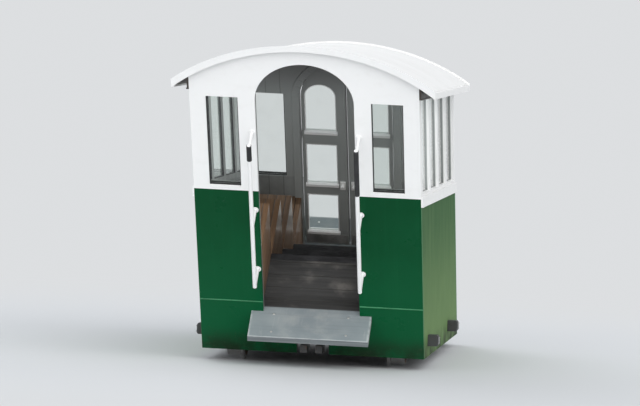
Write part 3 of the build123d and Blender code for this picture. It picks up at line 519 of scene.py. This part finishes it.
def window_glass():
    """Clear, faintly green sheet with a film of dust, which lets lamps through."""
    sh = Shader("window_glass")
    dust = sh.span(sh.noise(9.0, 5), 0.4, 0.8, 0.0, 0.02)
    clear = sh.node("ShaderNodeBsdfTransparent", {"Color": GLASS_CLEAR})
    mirror = sh.node("ShaderNodeBsdfGlossy", {"Color": (1.0, 1.0, 1.0), "Roughness": 0.02})
    film = sh.node("ShaderNodeBsdfDiffuse", {"Color": GLASS_DUST})
    fresnel = sh.node("ShaderNodeFresnel", {"IOR": 1.5})
    leaving = sh.node("ShaderNodeNewGeometry").outputs["Backfacing"]
    shine = sh.both(fresnel.outputs[0], sh.less(leaving))
    sight = sh.node("ShaderNodeMixShader", {0: shine, 1: clear.outputs[0], 2: mirror.outputs[0]})
    return sh.close(sh.node("ShaderNodeMixShader", {0: dust, 1: sight.outputs[0], 2: film.outputs[0]}))


FINISHES = {
    "white_paint": white_paint(),
    "green_paint": green_paint(),
    "roof_paint": roof_paint(),
    "white_steel": white_paint("white_steel_paint", (0.88, 0.88, 0.88), cabin=False, depth=0.00003),
    "black_rubber": rubber(),
    "grey_board": board_paint(),
    "floor_wood": wood(
        "dark_floor_boards", (0.019, 0.019, 0.019), (0.042, 0.042, 0.041), pitch=0.11, across="run", gloss=0.0
    ),
    "bench_wood": wood(
        "varnished_bench_slats", (0.075, 0.042, 0.023), (0.17, 0.10, 0.055),
        pitch=0.055, across="x", gloss=0.8, axis="x",
    ),
    "frame_steel": dark_steel("black_frame_steel", (0.018, 0.018, 0.019), (0.12, 0.055, 0.025), share=0.35),
    "cast_iron": dark_steel(
        "greasy_cast_iron", (0.020, 0.022, 0.022), (0.050, 0.036, 0.028),
        share=0.35, rough=0.5, grain=90.0, depth=0.0006,
    ),
    "wheel_steel": wheel_steel(),
    "black_fittings": dark_steel(
        "black_fitting_paint", (0.014, 0.014, 0.015), (0.10, 0.05, 0.03), share=0.1, rough=0.32
    ),
    "window_glass": window_glass(),
}
# a lighter green than the panels: painted highlight for the light the joint bead catches
JOINT_HIGHLIGHT_PAINT = dark_steel("green_joint_bead_highlight", (0.035, 0.17, 0.078), (0.09, 0.25, 0.135), share=0.3, rough=0.35)
DULL_RUBBER = dark_steel(
    "grey_seal_rubber", (0.13, 0.13, 0.135), (0.16, 0.155, 0.15),
    share=0.5, rough=0.6, grain=200.0, depth=0.0002,
)
GLAZING_RUBBER = dark_steel(
    "dark_glazing_rubber", (0.016, 0.016, 0.017), (0.045, 0.044, 0.042),
    share=0.4, rough=0.55, grain=200.0, depth=0.0002,
)
BOX_LID = dark_steel(
    "worn_lid_iron", (0.20, 0.205, 0.205), (0.13, 0.09, 0.06),
    share=0.35, rough=0.5, grain=90.0, depth=0.0004, metal=0.4,
)
BRIGHT = dark_steel("zinc_screws", (0.50, 0.50, 0.49), (0.20, 0.12, 0.07), share=0.2, rough=0.36, metal=0.8)
# dark brown wood, partly painted shade for the shadow under the roof's overhang
SHADE_BATTEN_WOOD = wood(
    "dark_batten_wood_shade", (0.030, 0.022, 0.018), (0.060, 0.045, 0.036), pitch=5.0, across="x", gloss=0.3
)
CASING_PAINT = white_paint("door_casing_paint", cabin=False, green_foot=True)
# bright white without the cabin grey: white paint on beads and locks, and a painted highlight on the door
# ledges where they catch the light
LEDGE_WHITE_AND_HIGHLIGHT = white_paint("window_ledge_white_and_highlight", cabin=False)

for row in frame["record"]["subparts"]:
    finish = CASING_PAINT if row["node"] == "door_casing" else FINISHES[row["material_slot"]]
    slots = frame["nodes"][row["node"]].data.materials
    if slots:
        for i in range(len(slots)):
            slots[i] = finish
    else:
        slots.append(finish)


def rectangle(x, y):
    """An outline anticlockwise between two values of x and two of y."""
    return [(x[0], y[0]), (x[1], y[0]), (x[1], y[1]), (x[0], y[1])]


def x_range(side, near, far):
    """Two distances from the centre line as a range of x on the left or the right."""
    return sorted((side * near, side * far))


def side_point(along, height):
    """A side's x and y for a station along the track and a plumb height above the lower edge."""
    return along * cos(LEAN), height - along * sin(LEAN)


def side_outline(along, heights):
    """A parallelogram on a side, between two stations and two plumb heights."""
    return [side_point(*corner) for corner in rectangle(along, heights)]


def arc(middle, radius, steps):
    """Points of the half circle that stands on the springing line, from right to left."""
    turns = [pi * i / steps for i in range(steps + 1)]
    return [(middle + radius * cos(t), SPRINGING + radius * sin(t)) for t in turns]


class Shape:
    """A mesh gathered from simple forms, each in a place of its own."""

    def __init__(self):
        self.bm = bmesh.new()

    def solid(self, at, outline, low, high):
        """A prism: an outline in the place's x and y, from low to high along its z."""
        rings = [[self.bm.verts.new(at @ Vector((x, y, z))) for x, y in outline] for z in (low, high)]
        self.bm.faces.new(rings[0][::-1])
        self.bm.faces.new(rings[1])
        for i in range(len(outline)):
            j = (i + 1) % len(outline)
            self.bm.faces.new((rings[0][i], rings[0][j], rings[1][j], rings[1][i]))

    def box(self, at, x, y, z):
        self.solid(at, rectangle(x, y), *z)

    def turned(self, at, profile, count=12):
        """A closed round form about the place's z: pairs of radius and z, from bottom to top."""
        rings = []
        for radius, z in profile:
            ring = []
            for i in range(count):
                angle = 2 * pi * i / count
                ring.append(self.bm.verts.new(at @ Vector((radius * cos(angle), radius * sin(angle), z))))
            rings.append(ring)
        self.bm.faces.new(rings[0][::-1])
        self.bm.faces.new(rings[-1])
        for a, b in zip(rings, rings[1:]):
            for i in range(count):
                j = (i + 1) % count
                self.bm.faces.new((a[i], a[j], b[j], b[i]))

    def strip(self, at, path, width, low, high):
        """A flat strip of one width to the left of an open path in the place's x and y."""
        sides = []
        for i, point in enumerate(path):
            before = path[max(i - 1, 0)]
            after = path[min(i + 1, len(path) - 1)]
            along = Vector((after[0] - before[0], after[1] - before[1])).normalized()
            sides.append((point[0] - along.y * width, point[1] + along.x * width))
        for i in range(len(path) - 1):
            self.solid(at, [path[i], path[i + 1], sides[i + 1], sides[i]], low, high)

    def ring(self, at, path, width, low, high):
        """A closed mitred frame of one width inside a path that runs anticlockwise."""
        inner = []
        count = len(path)
        for i in range(count):
            before, here, after = (Vector(path[(i + k) % count]) for k in (-1, 0, 1))
            a = (here - before).normalized()
            b = (after - here).normalized()
            normal = Vector((-a.y - b.y, a.x + b.x)).normalized()
            cosine = normal.dot(Vector((-a.y, a.x)))
            inner.append(tuple(here + normal * (width / cosine)))
        rows = []
        for loop, z in ((path, low), (inner, low), (inner, high), (path, high)):
            rows.append([self.bm.verts.new(at @ Vector((p[0], p[1], z))) for p in loop])
        for k in range(4):
            a, b = rows[k], rows[(k + 1) % 4]
            for i in range(count):
                j = (i + 1) % count
                self.bm.faces.new((a[i], a[j], b[j], b[i]))

    def screw(self, at, x, y, z, radius, tall):
        """A domed head that stands on z, with a raised bar where its slot is."""
        here = at @ Matrix.Translation((x, y, z))
        dome = [(radius, 0), (radius, tall * 0.35), (radius * 0.8, tall * 0.8), (radius * 0.45, tall)]
        self.turned(here, dome)
        length, width = radius * 0.7, radius * 0.09
        self.box(here, (-length, length), (-width, width), (tall * 0.6, tall * 1.08))

    def bolt(self, at, x, y, z, radius, tall):
        """A washer and a hexagon head."""
        here = at @ Matrix.Translation((x, y, z))
        washer = tall * 0.22
        self.turned(here, [(radius * 1.35, 0), (radius * 1.35, washer)], 16)
        self.turned(here, [(radius, washer), (radius, tall * 0.85), (radius * 0.82, tall)], 6)

    def made(self, name, finish, slot, body="car", bevel=0.0):
        """The gathered mesh as a piece of its own, on its body; its slot is not used."""
        bmesh.ops.recalc_face_normals(self.bm, faces=self.bm.faces)
        mesh = bpy.data.meshes.new(name)
        self.bm.to_mesh(mesh)
        self.bm.free()
        piece = bpy.data.objects.new(name, mesh)
        bpy.context.scene.collection.objects.link(piece)
        mesh.materials.append(finish)
        if bevel:
            edge = piece.modifiers.new("edge", "BEVEL")
            edge.width = bevel
            edge.segments = 2
            edge.limit_method = "ANGLE"
            edge.angle_limit = radians(50)
        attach(piece, body)


# Glazing beads, outside and inside each pane
BEAD = 0.005
BEAD_BEVEL = 0.0012
GLASS_GAP = 0.0002
BEAD_INSET, BEAD_PROUD = 0.002, 0.002
OUTER_BEAD = (-GLASS_SETBACK + GLASS_GAP, -GLASS_SETBACK + 0.012)
INNER_BEAD = (-GLASS_SETBACK - GLASS - 0.008, -GLASS_SETBACK - GLASS - GLASS_GAP)

for name, end in ENDS.items():
    beads = Shape()
    for side in SIDES.values():
        middle = side * (HALF_WIDTH - END_WINDOW_MARGIN - END_WINDOW_WIDTH / 2)
        pane = rectangle((middle - END_WINDOW_WIDTH / 2, middle + END_WINDOW_WIDTH / 2), END_WINDOW_HEIGHTS)
        beads.ring(end["place"], pane, BEAD, *OUTER_BEAD)
        beads.ring(end["place"], pane, BEAD, *INNER_BEAD)
    beads.made(f"window_beads_{name}", GLAZING_RUBBER, "black_rubber", bevel=BEAD_BEVEL)

first = END_WALL_ALONG + CORNER_POST
posts = 2 * CORNER_POST + (SIDE_WINDOW_COUNT - 1) * SIDE_POST
window_length = (BODY_LENGTH - 2 * END_WALL_ALONG - posts) / SIDE_WINDOW_COUNT
for name, at in SIDE_PLACES.items():
    beads, seals = Shape(), Shape()
    for i in range(SIDE_WINDOW_COUNT):
        start = first + i * (window_length + SIDE_POST)
        pane = side_outline((start, start + window_length), SIDE_WINDOW_HEIGHTS)
        beads.ring(at, pane, BEAD, *OUTER_BEAD)
        seals.ring(at, pane, BEAD, *INNER_BEAD)
    beads.made(f"window_beads_{name}", FINISHES["white_paint"], "white_paint", bevel=BEAD_BEVEL)
    seals.made(f"window_seals_{name}", GLAZING_RUBBER, "black_rubber", bevel=BEAD_BEVEL)

# Dark battens above the side windows, in the roof's shade, their dark wood partly painted shade for the
# shadow under the overhang, each with a drip along its foot
BATTEN_TOP, BATTEN_FOOT, DRIP_FOOT = EAVES - 0.012, EAVES - 0.086, EAVES - 0.096
BATTEN_PROUD, DRIP_PROUD, BATTEN_SETBACK = 0.012, 0.017, 0.004
for name, at in SIDE_PLACES.items():
    batten = Shape()
    for low, high, proud in ((BATTEN_FOOT, BATTEN_TOP, BATTEN_PROUD), (DRIP_FOOT, BATTEN_FOOT, DRIP_PROUD)):
        outline = side_outline((BATTEN_SETBACK, BODY_LENGTH - BATTEN_SETBACK), (low, high))
        batten.solid(at, outline, 0.0, proud)
    batten.made(f"eaves_shade_batten_{name}", SHADE_BATTEN_WOOD, "bench_wood", bevel=0.0015)

# Doors: beads round the panes, ledges under them, seals on the meeting stiles, kick plates, locks
DOOR_EDGE = 0.005
DOOR_FACE = -0.002
DOOR_BACK = DOOR_FACE - 0.03
GLASS_OUT = DOOR_FACE - 0.012
GLASS_IN = GLASS_OUT - GLASS
PANE_IN, PANE_OUT = 0.065, HALF_DOOR - DOOR_EDGE - 0.02
ARCHED_BOTTOM = SPRINGING - 0.285
MIDDLE_TOP = ARCHED_BOTTOM - 0.1
LOW_BOTTOM = FAR_SILL + 0.109
SQUARE_PANES = ((LOW_BOTTOM, LOW_BOTTOM + 0.307), (MIDDLE_TOP - 0.325, MIDDLE_TOP))
SEAL_WIDTH, SEAL_BEVEL = 0.004, 0.0012
SEAL_DEPTHS = (DOOR_FACE - 0.009, DOOR_FACE - 0.003)
SEAL_HEIGHTS = ((FAR_SILL + 0.012, FAR_SILL + 0.9), (FAR_SILL + 0.9, SPRINGING + HALF_DOOR - 0.012))
LEDGE_SIDE = 0.006
LEDGE_SECTION = ((-0.014, -0.014), (0, -0.014), (0, 0.010), (-0.014, 0.004))
KICK_X, KICK_HEIGHTS, KICK_THICKNESS = (0.012, 0.272), (FAR_SILL + 0.016, FAR_SILL + 0.086), 0.0012
HINGE_HEIGHTS = (FAR_SILL + 0.06, SPRINGING - 0.335)
STRAP_THICKNESS = 0.005
STRAP_SCREWS = (0.155, 0.19, 0.225, 0.26)
LOCK_X, LOCK_HEIGHTS, LOCK_THICKNESS = (0.018, 0.052), (FAR_SILL + 0.47, FAR_SILL + 0.53), 0.012
KNOB_X, KNOB_HEIGHT = 0.035, FAR_SILL + 0.51
KNOB = [(0.009, 0), (0.009, 0.002), (0.005, 0.004), (0.005, 0.012),
        (0.010, 0.015), (0.012, 0.021), (0.010, 0.027), (0.004, 0.029)]
X_FOR_Z = Matrix(((0, 0, 1, 0), (0, 1, 0, 0), (1, 0, 0, 0), (0, 0, 0, 1)))

far = ENDS["downhill"]["place"]
for name, side in SIDES.items():
    body = f"door_{name}"
    panes = [rectangle((PANE_IN, PANE_OUT), heights) for heights in SQUARE_PANES]
    round_head = arc((PANE_IN + PANE_OUT) / 2, (PANE_OUT - PANE_IN) / 2, 16)
    panes.append([(PANE_IN, ARCHED_BOTTOM), (PANE_OUT, ARCHED_BOTTOM)] + round_head)
    beads = Shape()
    for pane in panes:
        if side < 0:
            pane = [(-x, y) for x, y in pane][::-1]
        beads.ring(far, pane, BEAD, GLASS_OUT + GLASS_GAP, DOOR_FACE - BEAD_INSET)
        beads.ring(far, pane, BEAD, DOOR_BACK - BEAD_PROUD, GLASS_IN - GLASS_GAP)
    beads.made(f"door_beads_{name}", LEDGE_WHITE_AND_HIGHLIGHT, "white_paint", body, bevel=BEAD_BEVEL)

    seal = Shape()
    for heights in SEAL_HEIGHTS:
        edge = x_range(side, DOOR_EDGE, DOOR_EDGE - SEAL_WIDTH)
        seal.box(far, edge, heights, SEAL_DEPTHS)
    seal.made(f"door_seal_{name}", DULL_RUBBER, "black_rubber", body, bevel=SEAL_BEVEL)

    # the ledges take the bright white, a painted highlight along the rails under the panes
    ledges = Shape()
    for foot in (SQUARE_PANES[0][0], SQUARE_PANES[1][0], ARCHED_BOTTOM):
        section = [(DOOR_BACK + reach, foot + rise) for reach, rise in LEDGE_SECTION]
        ledges.solid(far @ X_FOR_Z, section, *x_range(side, PANE_IN - LEDGE_SIDE, PANE_OUT + LEDGE_SIDE))
    ledges.made(f"door_ledges_{name}", LEDGE_WHITE_AND_HIGHLIGHT, "white_paint", body, bevel=0.001)

    plate = Shape()
    plate.box(far, x_range(side, *KICK_X), KICK_HEIGHTS, (DOOR_BACK - KICK_THICKNESS, DOOR_BACK))
    plate.made(f"kick_plate_{name}", BRIGHT, "wheel_steel", body, bevel=0.0004)

    screws = Shape()
    for height in HINGE_HEIGHTS:
        for x in STRAP_SCREWS:
            screws.screw(far, side * x, height, DOOR_FACE + STRAP_THICKNESS, radius=0.0045, tall=0.0022)
    screws.made(f"door_screws_{name}", FINISHES["black_fittings"], "black_fittings", body)

    lock = Shape()
    lock.box(far, x_range(side, *LOCK_X), LOCK_HEIGHTS, (DOOR_BACK - LOCK_THICKNESS, DOOR_BACK))
    knob_foot = Matrix.Translation((side * KNOB_X, KNOB_HEIGHT, DOOR_BACK - LOCK_THICKNESS))
    lock.turned(far @ knob_foot @ Matrix.Rotation(pi, 4, "X"), KNOB, 20)
    lock.made(f"door_lock_{name}", LEDGE_WHITE_AND_HIGHLIGHT, "white_paint", body, bevel=0.0012)

# The far doorway: screws in the casing outside, an architrave inside
UPRIGHT_SCREWS, UPRIGHT_START, UPRIGHT_PITCH = 6, FAR_SILL + 0.06, 0.2
ARCH_STEPS = 10
screws = Shape()
middle = CASING_HALF - CASING_WIDTH / 2
right_upright = [(middle, UPRIGHT_START + i * UPRIGHT_PITCH) for i in range(UPRIGHT_SCREWS)]
left_upright = [(-x, y) for x, y in right_upright]
for x, y in right_upright + arc(0, middle, ARCH_STEPS) + left_upright:
    screws.screw(far, x, y, CASING_THICKNESS, radius=0.0045, tall=0.0016)
screws.made("casing_screws", CASING_PAINT, "white_paint")

ARCHITRAVE_GAP, ARCHITRAVE_WIDTH, ARCHITRAVE_THICKNESS = 0.05, 0.046, 0.012
ARCHITRAVE_FOOT = WAIST - 0.3
architrave = Shape()
half = HALF_DOOR + ARCHITRAVE_GAP
outline = [(half, ARCHITRAVE_FOOT)] + arc(0, half, 20) + [(-half, ARCHITRAVE_FOOT)]
architrave.strip(far, outline, ARCHITRAVE_WIDTH, -END_WALL - ARCHITRAVE_THICKNESS, -END_WALL)
architrave.made("inner_architrave", FINISHES["white_paint"], "white_paint", bevel=0.0025)

# A raised joint bead across the green panels of both ends, its lighter green a painted highlight along the
# bead
JOINT_HEIGHTS, JOINT_PROUD, JOINT_INNER_GAP, JOINT_OUTER_GAP = (0.391, 0.399), 0.003, 0.0005, 0.001
for name, end in ENDS.items():
    joints = Shape()
    for side in SIDES.values():
        x = x_range(side, end["panel"] + JOINT_INNER_GAP, HALF_WIDTH - JOINT_OUTER_GAP)
        joints.box(end["place"], x, JOINT_HEIGHTS, (0, JOINT_PROUD))
    joints.made(f"panel_joint_{name}", JOINT_HIGHLIGHT_PAINT, "green_paint", bevel=0.001)

# Sill band screws
BAND_SCREW_COUNT, BAND_SCREW_MARGIN, BAND_SCREW_HEIGHT = 13, 0.05, WAIST - 0.04
pitch = (BODY_LENGTH - 2 * BAND_SCREW_MARGIN) / (BAND_SCREW_COUNT - 1)
for name, at in SIDE_PLACES.items():
    screws = Shape()
    for i in range(BAND_SCREW_COUNT):
        x, y = side_point(BAND_SCREW_MARGIN + i * pitch, BAND_SCREW_HEIGHT)
        screws.screw(at, x, y, BAND_THICKNESS, radius=0.0045, tall=0.0016)
    screws.made(f"band_screws_{name}", FINISHES["white_paint"], "white_paint")

# Boarding boards: screws, and nosings on the edges of the steps inside
BOARD_SCREW_XS, BOARD_SCREW_REACHES = (-0.22, 0.22), (0.022, 0.175)
for name, end in ENDS.items():
    board_top = level_point(0, end["run"], end["sill"] - end["run"] * SLOPE)
    top = place(board_top, ACROSS, LEVEL * end["out"], PLUMB)
    screws = Shape()
    for x in BOARD_SCREW_XS:
        for y in BOARD_SCREW_REACHES:
            screws.screw(top, x, y, 0.0, radius=0.007, tall=0.002)
    screws.made(f"board_screws_{name}", BRIGHT, "wheel_steel")

NOSING_DEPTH, NOSING_THICKNESS, NOSING_DROP = 0.045, 0.003, 0.028
NOSING_X, RIB_X = (-AISLE_HALF + 0.002, AISLE_HALF - 0.002), (-AISLE_HALF + 0.006, AISLE_HALF - 0.006)
RIB_COUNT, RIB_START, RIB_PITCH, RIB_WIDTH, RIB_TOP = 5, -0.040, 0.008, 0.004, 0.0045
nosings = Shape()
for i in range(TIER_COUNT - 1):
    edge = place(level_point(0, (i + 1) * TIER_RUN, SILL - i * TIER_DROP), ACROSS, LEVEL, PLUMB)
    nosings.box(edge, NOSING_X, (-NOSING_DEPTH, NOSING_THICKNESS), (0, NOSING_THICKNESS))
    nosings.box(edge, NOSING_X, (0.0, NOSING_THICKNESS), (-NOSING_DROP, 0.0))
    for k in range(RIB_COUNT):
        y = RIB_START + k * RIB_PITCH
        nosings.box(edge, RIB_X, (y, y + RIB_WIDTH), (NOSING_THICKNESS, RIB_TOP))
nosings.made("step_nosings", FINISHES["black_rubber"], "black_rubber", bevel=0.0008)

# Grab bars: three screws in each arm's base
BASE_SCREW_CIRCLE = 0.0155
screws = Shape()
near = ENDS["uphill"]["place"]
for side in SIDES.values():
    for height in GRAB_ARM_HEIGHTS:
        for k in range(3):
            angle = pi / 2 + 2 * pi * k / 3
            x = side * GRAB_BAR_X + BASE_SCREW_CIRCLE * cos(angle)
            y = height + BASE_SCREW_CIRCLE * sin(angle)
            screws.screw(near, x, y, GRAB_BASE_THICKNESS, radius=0.0032, tall=0.0014)
screws.made("grab_bar_screws", FINISHES["white_steel"], "white_steel")

# Axle boxes: lids, bolts and oil plugs
LID = [(0.0205, 0), (0.0205, 0.003), (0.018, 0.0045), (0.0155, 0.0045),
       (0.014, 0.003), (0.009, 0.003), (0.0075, 0.006), (0.004, 0.0065)]
LID_BOLT_XS, LID_BOLT_HEIGHTS = (-0.034, 0.034), (-0.016, 0.016)
for name, side in SIDES.items():
    covers = Shape()
    for y in AXLE_YS:
        middle = Vector((side * (HALF_WIDTH + AXLE_BOX_DEPTH), y, WHEEL_RADIUS))
        at = place(middle, Vector((0, 1, 0)), Vector((0, 0, 1)), ACROSS * side)
        covers.turned(at, LID, 32)
        for x in LID_BOLT_XS:
            for height in LID_BOLT_HEIGHTS:
                covers.bolt(at, x, height, 0.0, radius=0.005, tall=0.005)
    covers.made(f"axle_box_lids_{name}", BOX_LID, "cast_iron", bevel=0.0005)

# Underframe bolts, four at each end of every crossmember
FRAME_BOLT_XS, FRAME_BOLT_STEPS = (-0.535, -0.50, 0.50, 0.535), (-0.022, 0.022)
bolts = Shape()
down = place(Vector((0, 0, BEAM_BOTTOM)), ACROSS, Vector((0, -1, 0)), Vector((0, 0, -1)))
for y in CROSSMEMBER_YS:
    for x in FRAME_BOLT_XS:
        for step in FRAME_BOLT_STEPS:
            bolts.bolt(down, x, -y + step, 0.0, radius=0.008, tall=0.008)
bolts.made("frame_bolts", FINISHES["frame_steel"], "frame_steel")

# Studio: a matt floor just below the flanges, which glows like the backdrop further out
FLOOR_Z, FLOOR_RADIUS = -0.0202, 4000
FADE_START, FADE_END = 2.5, 7.0
floor_mesh = bpy.data.meshes.new("floor")
floor_bm = bmesh.new()
bmesh.ops.create_circle(floor_bm, cap_ends=True, segments=96, radius=FLOOR_RADIUS)
floor_bm.to_mesh(floor_mesh)
floor_bm.free()
floor = bpy.data.objects.new("floor", floor_mesh)
floor.location = (0, 0, FLOOR_Z)
bpy.context.scene.collection.objects.link(floor)

stage = bpy.data.materials.new("studio_floor")
nodes = Nodes(stage)
matt = nodes.node("ShaderNodeBsdfDiffuse", {"Color": FLOOR_GREY})
glow = nodes.node("ShaderNodeEmission", {"Color": STUDIO_GREY})
coords = nodes.node("ShaderNodeTexCoord")
length = nodes.node("ShaderNodeVectorMath", {0: coords.outputs["Object"]}, operation="LENGTH")
values = {"Value": length.outputs["Value"], "From Min": FADE_START, "From Max": FADE_END}
fade = nodes.node("ShaderNodeMapRange", values, interpolation_type="SMOOTHSTEP")
blend = nodes.node("ShaderNodeMixShader", {0: fade.outputs[0], 1: matt.outputs[0], 2: glow.outputs[0]})
nodes.node("ShaderNodeOutputMaterial", {"Surface": blend.outputs[0]})
floor_mesh.materials.append(stage)

# World: sky light on the car, the plain backdrop for camera, mirror and transmitted rays
SKY_STRENGTH = 0.62
world = bpy.data.worlds.new("studio")
bpy.context.scene.world = world
nodes = Nodes(world)
sky = nodes.node("ShaderNodeBackground", {"Color": SKY, "Strength": SKY_STRENGTH})
plain = nodes.node("ShaderNodeBackground", {"Color": STUDIO_GREY})
path = nodes.node("ShaderNodeLightPath")
seen = path.outputs["Is Camera Ray"]
for ray in ("Is Glossy Ray", "Is Transmission Ray"):
    seen = nodes.node("ShaderNodeMath", {0: seen, 1: path.outputs[ray]}, operation="MAXIMUM").outputs[0]
blend = nodes.node("ShaderNodeMixShader", {0: seen, 1: sky.outputs[0], 2: plain.outputs[0]})
nodes.node("ShaderNodeOutputWorld", {"Surface": blend.outputs[0]})

# Lamps: two areas that light the cabin, three suns outside
LAMP_SIZE, LAMP_SETBACK, LAMP_HEIGHT = (1.1, 1.7), 0.12, 1.25


def sun(name, towards, strength, angle, colour):
    """A soft lamp a long way off, which shines from a direction."""
    lamp = bpy.data.lights.new(name, "SUN")
    lamp.energy = strength
    lamp.angle = radians(angle)
    lamp.color = colour
    holder = bpy.data.objects.new(name, lamp)
    holder.rotation_mode = "QUATERNION"
    holder.rotation_quaternion = Vector(towards).to_track_quat("Z", "Y")
    bpy.context.scene.collection.objects.link(holder)


def cabin_lamp(name, centre, along, strength):
    """A soft lamp inside the cabin, which shines along a direction and isn't seen itself."""
    lamp = bpy.data.lights.new(name, "AREA")
    lamp.shape = "RECTANGLE"
    lamp.size, lamp.size_y = LAMP_SIZE
    lamp.energy = strength
    lamp.color = CABIN_LAMP
    holder = bpy.data.objects.new(name, lamp)
    holder.visible_camera = False
    holder.visible_glossy = False
    holder.matrix_world = place(centre, ACROSS, (-along).cross(ACROSS), -along)
    bpy.context.scene.collection.objects.link(holder)


cabin_lamp("cabin_front", level_point(0, LAMP_SETBACK, LAMP_HEIGHT), LEVEL, 10.0)
cabin_lamp("cabin_back", level_point(0, BODY_RUN - LAMP_SETBACK, LAMP_HEIGHT - BODY_DROP), -LEVEL, 5.0)

sun("key", (0.46, -0.74, 0.49), 1.5, 50, (1.0, 0.985, 0.96))
sun("low_fill", (-0.15, -0.97, 0.14), 1.70, 60, (0.98, 0.99, 1.0))
sun("back_fill", (-0.55, 0.76, 0.35), 1.0, 60, (0.97, 0.98, 1.0))

# Camera: the photograph's place and roll, aimed at the car through a longer lens
PHOTO_PLACE = Vector((3.3952, -36.2597, 2.4248))
PHOTO_WIDTH, PHOTO_MIDDLE, PHOTO_FOCAL = 640, (320, 203), 3426.1
YAW, PITCH, ROLL = radians(-3.3945), radians(2.3634), radians(2.7749)
AIM_X, AIM_Y, ENLARGED = 194.0, 199.0, 1.75
SENSOR_WIDTH, SIGHT = 36, 10000
ahead = Vector((sin(YAW) * cos(PITCH), cos(YAW) * cos(PITCH), -sin(PITCH)))
right = Vector((cos(YAW), -sin(YAW), 0))
above = right.cross(ahead)
rolled_right = right * cos(ROLL) + above * sin(ROLL)
rolled_up = above * cos(ROLL) - right * sin(ROLL)
aim = ahead + rolled_right * ((AIM_X - PHOTO_MIDDLE[0]) / PHOTO_FOCAL)
aim = (aim - rolled_up * ((AIM_Y - PHOTO_MIDDLE[1]) / PHOTO_FOCAL)).normalized()
side_axis = (rolled_right - aim * rolled_right.dot(aim)).normalized()
camera_data = bpy.data.cameras.new("camera")
camera_data.sensor_width = SENSOR_WIDTH
camera_data.lens = SENSOR_WIDTH * PHOTO_FOCAL * ENLARGED / PHOTO_WIDTH
camera_data.clip_end = SIGHT
camera = bpy.data.objects.new("camera", camera_data)
camera.matrix_world = place(PHOTO_PLACE, side_axis, side_axis.cross(aim), -aim)
bpy.context.scene.collection.objects.link(camera)
bpy.context.scene.camera = camera
bpy.context.scene.view_settings.view_transform = "Standard"
